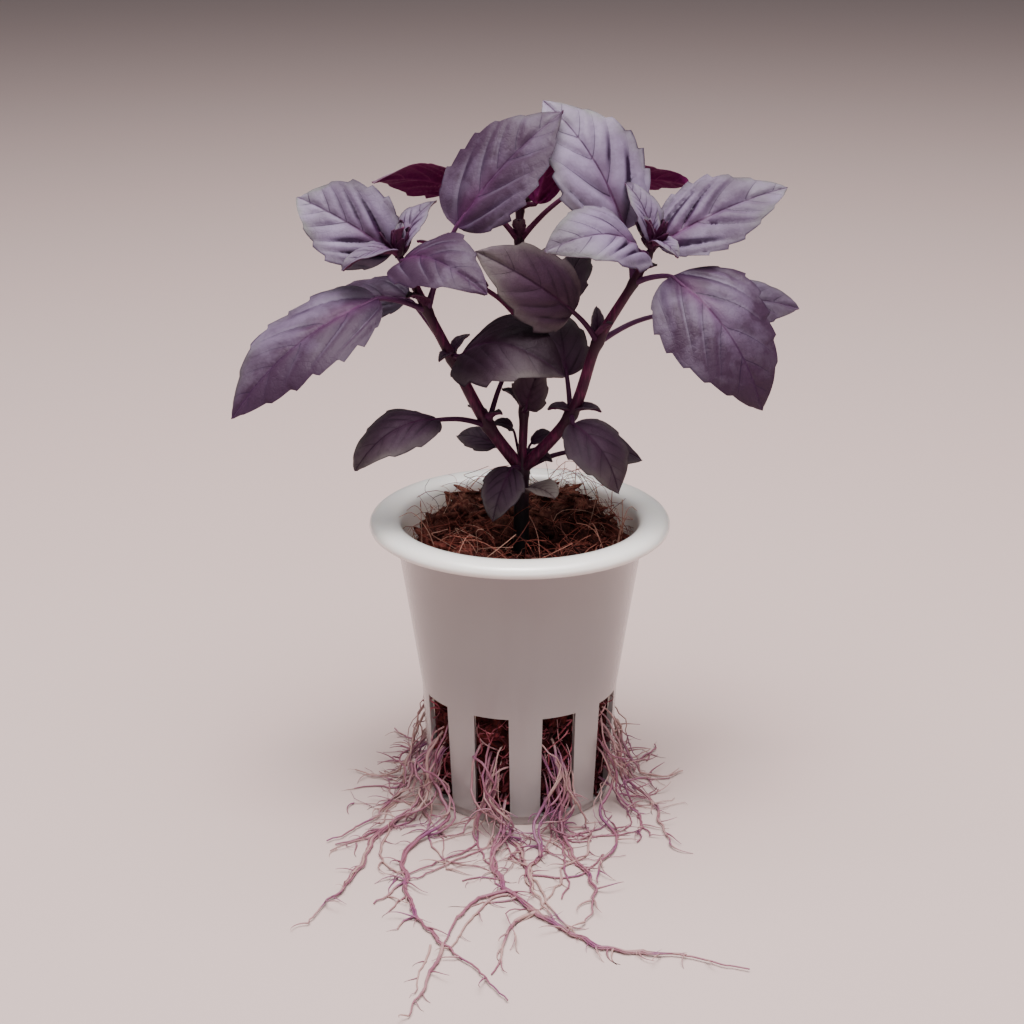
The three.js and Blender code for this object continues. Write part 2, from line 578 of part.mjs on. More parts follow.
/** The coir plug that fills the cup, with a hole for the stem and a pit in each slot for the roots. */
function growingMedium() {
  const inside = (z) => cupRadius(z) - CUP.wall - GAP;
  const foot = CUP.floorThickness + GAP;
  const edge = inside(PLUG.surfaceHeight);
  const profile = [[0, foot], [inside(foot) - 0.4, foot], [inside(foot), foot + 0.6]];
  profile.push([inside(CUP.slotTopHeight), CUP.slotTopHeight]);
  profile.push([edge, PLUG.surfaceHeight]);
  for (let ring = 1; ring <= PLUG.rings; ring += 1) {
    profile.push([edge * (1 - ring / PLUG.rings), PLUG.surfaceHeight + 1]);
  }
  const body = turned(profile, PLUG.sides);
  const position = body.attributes.position;
  for (let i = 0; i < position.count; i += 1) {
    if (position.getZ(i) > PLUG.surfaceHeight - 0.01) {
      position.setZ(i, coirSurface(position.getX(i), position.getY(i)));
    }
  }
  const solids = [toSolid(body)];
  const random = randomStream(PLUG.seed);
  for (let i = 0; i < PLUG.fibres; i += 1) {
    const bearing = random() * 360;
    const radius = 7 + random() * 12.5;
    const inward = bearing + 90 + (random() - 0.5) * 150;
    solids.push(fibre(bearing, radius, inward, 5 + random() * 5, 1.6 + random() * 1.6));
  }
  let plug = join(solids);
  plug = plug.subtract(fatStem);
  for (let i = 0; i < CUP.slots; i += 1) {
    const bearing = CUP.firstSlotBearing + (i * 360) / CUP.slots;
    const mouth = around(bearing, 22, ROOT.crownTop);
    const end = around(bearing, 15.5, ROOT.crownTop + 1.5);
    const pit = new THREE.LineCurve3(mouth, end);
    plug = plug.subtract(bentTube(pit, () => ROOT.pitRadius, 6, 1));
  }
  return largestBody(plug);
}

// ---------------------------------------------------------------- roots

/** The root crown in one slot: a short thick root from its pit in the coir down the slot. */
function rootCrown(slot) {
  const bearing = CUP.firstSlotBearing + (slot * 360) / CUP.slots;
  const points = [
    around(bearing, 17, ROOT.crownTop + 1.2),
    around(bearing, 19.8, ROOT.crownTop - 0.3),
    around(bearing, 21.2, (ROOT.crownTop + ROOT.crownFoot) / 2),
    around(bearing, 21.6, ROOT.crownFoot),
  ];
  const radiusAt = (part) => THREE.MathUtils.lerp(ROOT.crownRadius, ROOT.crownRadius * 0.8, part);
  return bentTube(smoothCurve(points), radiusAt, 6, 5);
}

/** The way of one long root, from the crown down to the ground and along it. */
function rootCurve({ slot, leaves, ground }) {
  const level = ROOT.radius + ROOT.floorGap;
  const points = ground.map(([x, y]) => new THREE.Vector3(x, y, level));
  if (slot === undefined) return smoothCurve(points);
  const bearing = CUP.firstSlotBearing + (slot * 360) / CUP.slots;
  const landing = points[0].clone().setZ(0).normalize();
  points.unshift(landing.multiplyScalar(24.6).setZ(leaves * 0.3));
  points.unshift(around(bearing, 22.8, leaves * 0.8));
  points.unshift(around(bearing, 21.3, leaves));
  return smoothCurve(points);
}

/** Short side roots along the part of a root that lies on the ground. */
function sideRoots(root, random) {
  const count = Math.max(1, Math.round(root.getLength() / 30));
  const solids = [];
  for (let i = 0; i < count; i += 1) {
    const part = 0.5 + (0.42 * (i + random())) / count;
    const start = root.getPointAt(part);
    const way = root.getTangentAt(part);
    const along = THREE.MathUtils.radToDeg(Math.atan2(way.y, way.x));
    const turn = along + (i % 2 ? 1 : -1) * (32 + random() * 26);
    const reach = 3 + random() * 2.5;
    const level = ROOT.lateralRadius + ROOT.floorGap;
    const middle = start.clone().addScaledVector(heading(turn, 0), reach * 0.5).setZ(level + 0.25);
    const end = start.clone().addScaledVector(heading(turn + 14, 0), reach).setZ(level);
    const curve = smoothCurve([start, middle, end]);
    solids.push(bentTube(curve, () => ROOT.lateralRadius, 3, 2, ROOT.floorGap));
  }
  return solids;
}

/** All the roots that leave by a group of slots, joined with their crowns. */
function rootBundle({ slots, strands }, random) {
  const solids = slots.map(rootCrown);
  for (const strand of strands) {
    const curve = rootCurve(strand);
    const steps = Math.max(6, Math.round(curve.getLength() / 7.5));
    const radiusAt = (part) => THREE.MathUtils.lerp(ROOT.radius, ROOT.tipRadius, part ** 2);
    solids.push(bentTube(curve, radiusAt, ROOT.sides, steps, ROOT.floorGap));
    solids.push(...sideRoots(curve, random));
  }
  return join(solids);
}

// ---------------------------------------------------------------- assembly

const plant = new THREE.Group();

/** Adds one named piece to the plant. */
function addPiece(name, solid, color, roughness) {
  const material = new THREE.MeshStandardMaterial({ color, roughness, metalness: 0 });
  const mesh = new THREE.Mesh(toGeometry(solid), material);
  mesh.name = name;
  plant.add(mesh);
}

addPiece('net_cup', netCup(), COLOUR.cup, 0.35);
addPiece('growing_medium', growingMedium(), COLOUR.coir, 0.95);
addPiece('main_stem', leafyShoot(mainShoot(0), LEAFLETS.main, null), COLOUR.stem, 0.55);
addPiece('left_shoot', leafyShoot(leftShoot(0), LEAFLETS.left, fatStem), COLOUR.stem, 0.55);
addPiece('right_shoot', leafyShoot(rightShoot(0), LEAFLETS.right, fatStem), COLOUR.stem, 0.55);

const carriers = join([fatStem, leftShoot(GAP), rightShoot(GAP)]);
for (const leaf of LEAVES) {
  addPiece(leaf.name, largestBody(leafSolid(leaf).subtract(carriers)), COLOUR[leaf.tone ?? 'lit'], 0.6);
}

const rootRandom = randomStream(ROOT.seed);
for (const [name, bundle] of Object.entries(ROOTS)) {
  addPiece(name, rootBundle(bundle, rootRandom), COLOUR.root, 0.7);
}

export default plant;
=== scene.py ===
"""A young purple basil plant, rooted in coir in a slotted net cup, dressed for a soft studio view.

Lengths are in metres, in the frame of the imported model: +Z up, the front towards -Y and the
origin at the centre of the cup's base. Tables of plant sizes are in millimetres and degrees.
"""

import logging
import math
import random
from dataclasses import dataclass, field
from enum import Enum
from functools import reduce
from typing import Any, Callable, Sequence

import bmesh
import bpy
import numpy as np
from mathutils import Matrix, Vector, noise


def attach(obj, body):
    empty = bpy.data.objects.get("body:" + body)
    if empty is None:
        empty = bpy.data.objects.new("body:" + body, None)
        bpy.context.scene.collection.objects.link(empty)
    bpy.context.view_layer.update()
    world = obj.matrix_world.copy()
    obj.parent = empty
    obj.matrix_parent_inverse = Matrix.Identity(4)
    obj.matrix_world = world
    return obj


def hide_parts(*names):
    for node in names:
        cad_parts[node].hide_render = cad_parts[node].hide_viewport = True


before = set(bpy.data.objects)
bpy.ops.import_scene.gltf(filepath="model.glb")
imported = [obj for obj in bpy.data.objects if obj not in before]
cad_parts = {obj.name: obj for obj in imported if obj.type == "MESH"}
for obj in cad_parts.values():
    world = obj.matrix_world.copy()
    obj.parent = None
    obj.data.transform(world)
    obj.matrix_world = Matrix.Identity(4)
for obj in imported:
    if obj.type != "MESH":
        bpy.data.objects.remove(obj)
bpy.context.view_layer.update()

log = logging.getLogger("basil")

MM = 0.001
BODY = "root"

# Columns of the numbers on each vertex. 1 and 2 are how far it is from the midrib and along the blade.
ORDER, PITCH, RIM, SIDE, SHADE = 0, 3, 4, 5, 6
MARKS = 7

Point = tuple[float, float, float]
Colour = tuple[float, float, float]
Face = tuple[int, ...]
Array = np.ndarray
Row = tuple[float, int, float]
Strand = tuple[Array, Array, float]
Socket = bpy.types.NodeSocket
Piece = bpy.types.Object
Material = bpy.types.Material


# ---- plant layout, in mm and degrees

MAIN_NODES = [(0.4, 0, 71.5), (0.8, 1.5, 83.4), (0.4, 5, 101.3), (-0.2, 8.5, 117.4), (0, 10.2, 123.6)]
MAIN_TIP = (0.1, 10.7, 125)
SEED_LEAF_NODE = (0.3, 0, 66.5)
LEFT_NODES = [(-6.5, -1, 81.4), (-13.6, -2, 95.7), (-18.4, -3, 105.8), (-22.7, -3.9, 115.4)]
LEFT_TIP = (-23.5, -4.1, 117)
RIGHT_NODES = [(10.3, -1, 83.6), (15.5, -2, 99.1), (22.4, -3, 111.5), (25, -3.9, 117)]
RIGHT_TIP = (25.7, -4.1, 118.8)
TIP_REACH = 1.4
GOLDEN_TURN = 137.5


class Tone(Enum):
    """How a leaf is coloured: lit, shaded, wine red and turned over, in the bud, or a pale seed leaf."""

    LIT = "lit"
    BUD = "bud"
    SHADED = "shaded"
    WINE = "wine"
    PALE = "pale"


@dataclass(frozen=True)
class LeafPlan:
    """Where one leaf grows and how its blade lies, in millimetres and degrees.

    The petiole is its turn, rise and length, and look is the way that the blade's upper face looks.
    """

    name: str
    at: Point
    petiole: Point
    turn: float
    rise: float
    length: float
    width: float
    look: Point
    arch: float
    fold: float
    curl: float
    teeth: int
    tone: Tone = Tone.LIT
    shade: float = 0.3
    shade_across: float = 0.0
    shade_tip: float = 0.0


LEAVES = [
    LeafPlan("leaf_left_3_front", LEFT_NODES[2], (202, 18, 10.8), 205, -34, 37, 20,
             (-0.3, -0.58, 0.75), 0.12, 8, 0.22, 6, shade=0.9, shade_across=0.35, shade_tip=0.2),
    LeafPlan("leaf_left_3_back", LEFT_NODES[2], (334, 69, 18.5), 19, 44, 30.6, 20.5,
             (-0.37, -0.72, 0.58), 0.08, 14, 0.2, 6, shade=1.0, shade_tip=-0.3),
    LeafPlan("leaf_left_4_back", LEFT_NODES[3], (176, 48, 3), 160, 25, 22.5, 17.5,
             (-0.1, -0.86, 0.5), 0.13, 12, 0.15, 5, shade=0.4, shade_tip=-0.5),
    LeafPlan("leaf_left_4_front", LEFT_NODES[3], (262, 23, 2.6), 313, -5, 25, 15.5,
             (-0.3, -0.4, 0.85), 0.18, 10, 0.25, 4, shade=1.08, shade_tip=-0.2),
    LeafPlan("leaf_left_2_front", LEFT_NODES[1], (299, 20, 3.6), 330, -2, 24, 20,
             (-0.2, -0.45, 0.87), 0.26, 5, 0.3, 4, Tone.SHADED, 0.8, 0.4),
    LeafPlan("leaf_left_2_back", LEFT_NODES[1], (157, 50, 14.5), 159, -9, 18.5, 14,
             (-0.2, -0.5, 1), 0.1, 8, 0.2, 4, shade=0.8),
    LeafPlan("leaf_left_1_front", LEFT_NODES[0], (207, 14, 11.4), 207, -24, 20, 13,
             (-0.2, -0.45, 0.87), 0.2, 5, 0.25, 3, Tone.SHADED),
    LeafPlan("leaf_left_1_back", LEFT_NODES[0], (49, 62, 11.3), 77, 44, 14, 10,
             (0, -0.5, 1), 0.08, 8, 0.2, 3, Tone.SHADED),
    LeafPlan("leaf_right_3_front", RIGHT_NODES[2], (329, 15, 8.4), 330.5, -50, 31.6, 23.5,
             (0.28, -0.8, 0.52), 0.2, 5, 0.25, 6, shade=0.86, shade_tip=0.4),
    LeafPlan("leaf_right_3_back", RIGHT_NODES[2], (122, 70, 10.3), 156, 54, 30, 21,
             (0.32, -0.82, 0.46), 0.16, 12, 0.2, 6, shade=0.18, shade_tip=-0.3),
    LeafPlan("leaf_right_4_back", RIGHT_NODES[3], (32, 43, 2.8), 17, 19.8, 29, 16.5,
             (0, -0.7, 0.72), 0.08, 12, 0.15, 6, shade=0.6, shade_tip=-0.3),
    LeafPlan("leaf_right_4_front", RIGHT_NODES[3], (233, 25, 2.8), 217, 8, 24, 17,
             (0.4, -0.42, 0.8), 0.2, 10, 0.22, 4, shade=0.4),
    LeafPlan("leaf_right_2_back", RIGHT_NODES[1], (28, 15, 15.4), 8, 0, 28.5, 17,
             (0.1, -0.5, 0.9), 0.12, 8, 0.2, 5, shade=0.7),
    LeafPlan("leaf_right_2_front", RIGHT_NODES[1], (219, 48, 9.6), 203, 34, 25, 15.5,
             (0.2, -0.9, 0.35), 0.14, 8, 0.25, 4, Tone.SHADED, 0.0),
    LeafPlan("leaf_right_1_front", RIGHT_NODES[0], (275, -9, 4.1), 322, -47, 17, 13,
             (0.35, -0.67, 0.65), 0.2, 5, 0.25, 3, Tone.SHADED),
    LeafPlan("leaf_right_1_back", RIGHT_NODES[0], (101, 60, 8.1), 100, 44, 15, 11,
             (0, -0.5, 1), 0.08, 8, 0.2, 3, Tone.SHADED),
    LeafPlan("leaf_centre_1_front", MAIN_NODES[1], (279, 29, 2.9), 321, 67, 12, 8,
             (-0.3, -0.8, 0.3), 0.1, 10, 0.15, 3, Tone.SHADED),
    LeafPlan("leaf_centre_2_left", MAIN_NODES[2], (196, 45, 10.6), 165, 32, 17, 12,
             (-0.2, 0.3, 1), 0.12, 8, 0.2, 3, Tone.WINE),
    LeafPlan("leaf_centre_2_right", MAIN_NODES[2], (353, 22, 8.3), 48, 51, 15, 11,
             (-0.5, -0.4, 0.8), 0.1, 8, 0.2, 3, Tone.SHADED),
    LeafPlan("leaf_centre_3_left", MAIN_NODES[3], (177, 44, 13.7), 203, 10, 21, 14,
             (0, 0.6, 0.8), 0.1, 8, 0.2, 4, Tone.WINE),
    LeafPlan("leaf_centre_3_right", MAIN_NODES[3], (20, 39, 14), 352, 6, 24, 15,
             (0, 0.6, 0.8), 0.1, 8, 0.2, 4, Tone.WINE),
    LeafPlan("leaf_centre_4_front", MAIN_NODES[4], (326, 18, 4.0), 330, 72, 12, 7.6,
             (0.2, 0.9, 0.3), 0.1, 12, 0.15, 3, Tone.WINE),
    LeafPlan("leaf_centre_4_back", MAIN_NODES[4], (103, 40, 2.4), 103, 22, 17, 12,
             (0, -0.2, 1), 0.1, 12, 0.15, 3),
    LeafPlan("leaf_base_front", MAIN_NODES[0], (243, 22, 4.8), 238, -52, 12, 9,
             (-0.3, -0.8, 0.5), 0.12, 6, 0.2, 3, Tone.SHADED),
    LeafPlan("leaf_base_back_left", MAIN_NODES[0], (142, 31, 7.6), 154, 5, 9.5, 7,
             (0, -0.5, 1), 0.12, 6, 0.2, 3, Tone.SHADED),
    LeafPlan("leaf_base_back_right", MAIN_NODES[0], (29, 10, 12.7), 12, -12, 15, 11,
             (0.2, -0.5, 1), 0.14, 6, 0.2, 3, Tone.SHADED),
]

# Small leaves in the axils and at the tips: node, turn, rise, length and width.
LEAFLETS = {
    "main": [
        (SEED_LEAF_NODE, 312, 4, 9, 6.4), (SEED_LEAF_NODE, 110, 12, 8, 4.4),
        (MAIN_NODES[1], 165, 40, 6, 3.4), (MAIN_NODES[1], 15, 38, 6.5, 3.6),
        (MAIN_NODES[3], 268, 45, 6, 3), (MAIN_TIP, 215, 58, 8, 4.4),
        (MAIN_TIP, 95, 66, 7, 3.8), (MAIN_TIP, 160, 78, 5.5, 3),
    ],
    "left": [
        (LEFT_NODES[0], 150, 30, 5.5, 3), (LEFT_NODES[0], 305, 30, 6, 3),
        (LEFT_NODES[1], 235, -5, 4.5, 2.6), (LEFT_NODES[1], 30, 42, 5.5, 2.8),
        (LEFT_NODES[2], 235, 26, 7.5, 3.6), (LEFT_TIP, 42, 43, 13, 6.4),
        (LEFT_TIP, 205, -12, 12.5, 6), (LEFT_TIP, 75, 78, 6, 3.2), (LEFT_TIP, 290, 66, 6, 3),
    ],
    "right": [
        (RIGHT_NODES[0], 190, 8, 5, 3.2), (RIGHT_NODES[0], 350, 2, 6.4, 3.6),
        (RIGHT_NODES[1], 95, 62, 6.5, 3), (RIGHT_NODES[1], 315, 45, 5.5, 2.8),
        (RIGHT_NODES[2], 20, 26, 5.5, 2.6), (RIGHT_TIP, 145, 60, 12.8, 7.4),
        (RIGHT_TIP, 302, -8, 9, 5), (RIGHT_TIP, 60, 74, 6.5, 3.2), (RIGHT_TIP, 210, 66, 6, 3),
    ],
}

# Little stalked leaves low on a stem.
SPRIGS = {
    "main": [
        LeafPlan("sprig", MAIN_NODES[0], (120, 66, 8.5), 200, 20, 5, 3.4, (0, -0.6, 1), 0.2, 14, 0.2, 3,
                 Tone.SHADED, 0.5),
        LeafPlan("sprig", MAIN_NODES[0], (60, 52, 6), 15, 12, 5.5, 3.6, (0, -0.6, 1), 0.25, 10, 0.2, 3,
                 Tone.SHADED, 0.3),
        LeafPlan("sprig", MAIN_NODES[0], (75, 40, 4), 345, -12, 6, 3.6, (0.2, -0.8, 1), 0.2, 10, 0.2, 3,
                 Tone.SHADED, 0.4),
    ],
}

# Long fibres past the rim: bearing, radius, turn, reach and lift.
STRAY_FIBRES = [
    (-78, 20.5, 100, 2, 12), (-66, 18.5, 165, 8, 8.5), (74, 20.5, 30, 5, 9), (142, 19, 75, 3, 6),
    (-100, 19, 200, 5, 6), (60, 19.5, 120, 6, 6.5), (-40, 20, 60, 7, 5), (165, 18, 20, 9, 7),
    (-95, 21.5, 95, 1.5, 6), (-88, 21, 140, 3, 7.5), (-108, 20.5, 60, 4, 5), (96, 21.5, 95, 2, 7),
    (88, 21, 120, 3, 6.5), (108, 20, 75, 3, 8), (82, 20.5, 20, 3, 5.5), (118, 19.5, 150, 5, 7),
]


@dataclass(frozen=True)
class RootPlan:
    """A long root: the slot it leaves by (None on the ground), its height there and its way on the ground."""

    slot: int | None
    leaves: float
    ground: list[tuple[float, float]]
    girth: float = 1.0
    mates: int = 2


ROOTS = {
    "roots_front": [
        RootPlan(8, 14, [(-27.5, -21), (-32.4, -37.7), (-34.2, -45.2), (-37.6, -51), (-40, -58.5)], mates=3),
        RootPlan(8, 11, [(-22.4, -30), (-22.2, -45), (-19.5, -56), (-14.3, -66), (-8.8, -72.6),
                         (-2.4, -84.6)], mates=3),
        RootPlan(0, 12, [(-5.2, -34), (-1.9, -46.4), (3, -54.7), (9, -61.5), (17, -67.5), (28, -69.6),
                         (42, -74.6)], mates=4),
        RootPlan(1, 15, [(4.5, -31), (1.9, -38.8), (4.3, -51), (8, -60.5)]),
        RootPlan(1, 10, [(9.8, -28.6), (13.3, -38.7), (14.9, -47.5), (12.4, -58.7)]),
        RootPlan(None, 0, [(-14.3, -66), (-15.2, -73.7), (-17.7, -82), (-19.2, -89.6)], 0.9, 1),
        RootPlan(None, 0, [(-1.9, -46.4), (-6.8, -48.8), (-11, -54.7), (-14.3, -66)], 0.9, 1),
        RootPlan(None, 0, [(-2.2, -47.7), (-4.5, -48.5), (-7.5, -53), (-10.1, -58.1), (-12.4, -67)], 0.6, 0),
        RootPlan(None, 0, [(3, -54.7), (-0.6, -58), (-3, -65), (-3.4, -72)], 0.9, 1),
        RootPlan(None, 0, [(-3.5, -70.7), (-4.6, -75.5)], 0.45, 0),
        RootPlan(8, 12, [(-24, -15), (-28.4, -28), (-27.2, -33.7), (-22.7, -42.4)], 0.65, 1),
        RootPlan(8, 8, [(-18.8, -17), (-17.2, -20), (-15.4, -24.5)], 0.5, 1),
        RootPlan(0, 13, [(-9, -25), (-10.8, -30.4), (-15.2, -34), (-21.7, -39.3)], 0.65, 1),
        RootPlan(0, 9, [(-6.8, -28.7), (-11.1, -32.8), (-15.9, -37.5), (-20, -41.6)], 0.6, 0),
        RootPlan(0, 10, [(-1.5, -25), (0.9, -32.8), (2.1, -39.2), (5.5, -51.4), (10.3, -62.3)], 0.85, 2),
        RootPlan(0, 7, [(-3.4, -25.5), (-1.8, -30.5), (0.5, -35.2), (1.7, -41.5)], 0.55, 0),
        RootPlan(1, 13, [(7, -24), (5, -29.5), (2.1, -36), (1.3, -40)], 0.6, 1),
        RootPlan(1, 8, [(9, -25), (9.3, -36), (9.4, -42.3), (8.3, -49.2)], 0.6, 1),
        RootPlan(1, 11, [(13.4, -21), (14.5, -26), (13.5, -31), (9, -37.6), (8, -43.8), (4, -52.9)], 0.6, 1),
        RootPlan(None, 0, [(-22.3, -42.4), (-25.2, -47), (-28, -51.2)], 0.6, 1),
        RootPlan(None, 0, [(-22.2, -48.5), (-24.8, -53.4)], 0.45, 0),
        RootPlan(None, 0, [(-20.1, -55.9), (-21.9, -57.4), (-23.3, -60.3)], 0.5, 0),
        RootPlan(None, 0, [(1.7, -40), (7.3, -40.7), (12, -39.9), (17.1, -31.9)], 0.5, 0),
        RootPlan(None, 0, [(-3.4, -41.6), (-7.5, -40.9), (-11, -41.8)], 0.4, 0),
        RootPlan(None, 0, [(-28, -21), (-33, -25.5), (-37.5, -28)], 0.6, 1),
    ],
    "roots_right": [
        RootPlan(2, 9, [(19, -20), (19.6, -29), (17.2, -33), (16, -39), (15.6, -43.6)]),
        RootPlan(2, 15, [(28, -9), (29.4, -17), (30.8, -27.5)], mates=3),
        RootPlan(2, 12, [(24.6, -15.5), (26.6, -24.6)], 0.8, 2),
        RootPlan(2, 17, [(24, -12), (25.5, -19), (23.6, -27)], 0.55, 1),
    ],
    "roots_right_back": [
        RootPlan(3, 13, [(27, 3.5), (31.5, 2), (36, 4.5)]),
        RootPlan(3, 9, [(25, 9), (29, 13), (30.5, 18)]),
    ],
    "roots_back_right": [
        RootPlan(4, 13, [(17.5, 20), (21.5, 24), (22.5, 30)]),
        RootPlan(4, 9, [(13.5, 23), (13, 28), (15, 32)]),
    ],
    "roots_back": [
        RootPlan(5, 13, [(0.5, 27), (3, 31.5), (2, 37)]),
        RootPlan(5, 9, [(-4.5, 26.5), (-6.5, 31), (-5, 35)]),
    ],
    "roots_back_left": [
        RootPlan(6, 13, [(-20, 18.5), (-25, 20.5), (-28.5, 26)]),
        RootPlan(6, 9, [(-16, 22), (-17, 27), (-21, 31)]),
    ],
    "roots_left": [
        RootPlan(7, 10, [(-27, -8.5), (-30.5, -17), (-35, -23), (-39, -27.5)], mates=3),
        RootPlan(7, 14, [(-28, 3), (-32, 2.5), (-35.5, 5)], mates=2),
        RootPlan(7, 16, [(-25, -4), (-27.5, -13), (-29, -19)], 0.6, 1),
    ],
}

# How many fine roots leave by each node's slots, and how far they run on the ground.
FINE_ROOTS = {"roots_front": (28, (5, 24)), "roots_right": (6, (5, 12)), "roots_left": (8, (5, 13))}
BACK_FINE_ROOTS = (8, (4, 10))


# ---- shared shape helpers


def heading(turn: float, rise: float) -> Array:
    """Gives a unit vector.

    Args:
        turn: degrees anticlockwise from +X, seen from above.
        rise: degrees above level.

    Returns:
        The vector.
    """
    a, e = math.radians(turn), math.radians(rise)
    return np.array([math.cos(e) * math.cos(a), math.cos(e) * math.sin(a), math.sin(e)])


def around(bearing: float, radius: float, z: float) -> Array:
    """Gives a point at a bearing from the front, towards +X, in the units of its radius."""
    a = math.radians(bearing)
    return np.array([radius * math.sin(a), -radius * math.cos(a), z])


def smooth_path(points: Sequence[Sequence[float]], count: int) -> Array:
    """Samples a centripetal Catmull-Rom curve evenly along its length.

    Args:
        points: what the curve passes through.
        count: how many samples to return.

    Returns:
        An array of count rows.
    """
    p = np.array(points, float)
    p = np.vstack([2 * p[0] - p[1], p, 2 * p[-1] - p[-2]])
    dense = []
    for i in range(1, len(p) - 2):
        q = p[i - 1:i + 3]
        gaps = np.maximum(np.linalg.norm(np.diff(q, axis=0), axis=1) ** 0.5, 1e-9)
        knots = np.concatenate([[0], np.cumsum(gaps)])
        t = np.linspace(knots[1], knots[2], 24, endpoint=False)[:, None]

        def step(a: Array, b: Array, ta: float, tb: float) -> Array:
            """Blends two points by their knots."""
            return (tb - t) / (tb - ta) * a + (t - ta) / (tb - ta) * b

        a1 = step(q[0], q[1], knots[0], knots[1])
        a2 = step(q[1], q[2], knots[1], knots[2])
        a3 = step(q[2], q[3], knots[2], knots[3])
        b1 = step(a1, a2, knots[0], knots[2])
        b2 = step(a2, a3, knots[1], knots[3])
        dense.append(step(b1, b2, knots[1], knots[2]))
    line = np.vstack([*dense, p[-2]])
    reach = np.concatenate([[0], np.cumsum(np.linalg.norm(np.diff(line, axis=0), axis=1))])
    places = np.linspace(0, reach[-1], count)
    return np.stack([np.interp(places, reach, line[:, k]) for k in range(3)], axis=1)


def bell(distance: Any, width: float) -> Any:
    """Gives 1 at no distance, and falls smoothly to nothing past the width."""
    return np.exp(-(distance / width) ** 2)


def path_length(path: Array) -> float:
    """Gives the length of a sampled path."""
    return float(np.linalg.norm(np.diff(path, axis=0), axis=1).sum())


def carry(mesh: bpy.types.Mesh, label: str, values: Sequence[float]) -> None:
    """Puts a number on each vertex under a name."""
    mesh.attributes.new(label, "FLOAT", "POINT").data.foreach_set("value", values)


@dataclass
class Shell:
    """Vertices and faces of one or more closed shells, with an attribute or two on each vertex."""

    points: list[Array] = field(default_factory=list)
    faces: list[Face] = field(default_factory=list)
    marks: list[Array] = field(default_factory=list)
    uvs: list[Array] = field(default_factory=list)
    count: int = 0

    def add(self, points: Array, faces: Sequence[Face], marks: Array, uvs: Array | None = None) -> None:
        """Adds a shell.

        Args:
            points: one row for each vertex, in millimetres.
            faces: the vertex numbers of each face, from 0.
            marks: seven numbers for each vertex, as the leaf and stem finishes read them.
            uvs: a place on the blade for each vertex, or None.
        """
        start = self.count
        self.points.append(points)
        self.faces.extend(tuple(start + i for i in face) for face in faces)
        self.marks.append(marks)
        self.uvs.append(np.zeros((len(points), 2)) if uvs is None else uvs)
        self.count += len(points)

    def piece(self, name: str, material: Material, sharp: float = 50) -> Piece:
        """Makes the object.

        Args:
            name: the object's name.
            material: its finish.
            sharp: the angle in degrees past which an edge is sharp.

        Returns:
            The object, with outward faces and attributes named pattern, rim, side and shade.
        """
        mesh = bpy.data.meshes.new(name)
        points = np.vstack(self.points) * MM
        mesh.from_pydata(points.tolist(), [], self.faces)
        marks = np.vstack(self.marks)
        pattern = mesh.attributes.new("pattern", "FLOAT_COLOR", "POINT")
        pattern.data.foreach_set("color", marks[:, :4].astype(np.float32).ravel())
        for column, label in ((RIM, "rim"), (SIDE, "side"), (SHADE, "shade")):
            carry(mesh, label, marks[:, column].astype(np.float32))
        uv = mesh.uv_layers.new(name="blade")
        corner = np.zeros(len(mesh.loops), np.int32)
        mesh.loops.foreach_get("vertex_index", corner)
        uv.data.foreach_set("uv", np.vstack(self.uvs)[corner].astype(np.float32).ravel())
        work = bmesh.new()
        work.from_mesh(mesh)
        bmesh.ops.remove_doubles(work, verts=work.verts, dist=1e-7)
        bmesh.ops.dissolve_degenerate(work, dist=1e-8, edges=work.edges)
        bmesh.ops.recalc_face_normals(work, faces=work.faces)
        work.to_mesh(mesh)
        work.free()
        mesh.materials.append(material)
        mesh.polygons.foreach_set("use_smooth", [True] * len(mesh.polygons))
        mesh.set_sharp_from_angle(angle=math.radians(sharp))
        thing = bpy.data.objects.new(name, mesh)
        bpy.context.scene.collection.objects.link(thing)
        return thing


def ring_faces(rings: int, sides: int) -> list[Face]:
    """Joins rings of points by faces.

    Args:
        rings: how many rings there are, one after the other.
        sides: how many points each has.

    Returns:
        The faces.
    """
    return [
        (i * sides + j, i * sides + (j + 1) % sides, (i + 1) * sides + (j + 1) % sides, (i + 1) * sides + j)
        for i in range(rings - 1) for j in range(sides)
    ]


def tube(path: Array, radii: Array, sides: int, lobes: float = 0.0) -> tuple[Array, list[Face]]:
    """Makes a closed tube along a path.

    Args:
        path: the points of its centre line.
        radii: the radius at each point.
        sides: how many sides it has.
        lobes: how far its four corners stand out, as a share of the radius.

    Returns:
        Its vertices and faces.
    """
    way = np.gradient(path, axis=0)
    way /= np.maximum(np.linalg.norm(way, axis=1), 1e-9)[:, None]
    across = np.cross(way[0], [0, 0, 1.0])
    if np.linalg.norm(across) < 0.1:
        across = np.cross(way[0], [0, 1.0, 0])
    angles = np.linspace(0, 2 * math.pi, sides, endpoint=False)
    shape = 1 + lobes * np.cos(4 * angles)
    rings = []
    for i, direction in enumerate(way):
        across = across - direction * across.dot(direction)
        across /= np.linalg.norm(across)
        other = np.cross(direction, across)
        turned = np.outer(np.cos(angles) * shape, across) + np.outer(np.sin(angles) * shape, other)
        rings.append(path[i] + radii[i] * turned)
    points = np.vstack([*rings, path[0] - way[0] * radii[0] * 0.3, path[-1] + way[-1] * radii[-1] * 0.6])
    faces = ring_faces(len(path), sides)
    foot, head = len(points) - 2, len(points) - 1
    last = (len(path) - 1) * sides
    for j in range(sides):
        k = (j + 1) % sides
        faces.append((foot, k, j))
        faces.append((head, last + j, last + k))
    return points, faces


# ---- node graphs


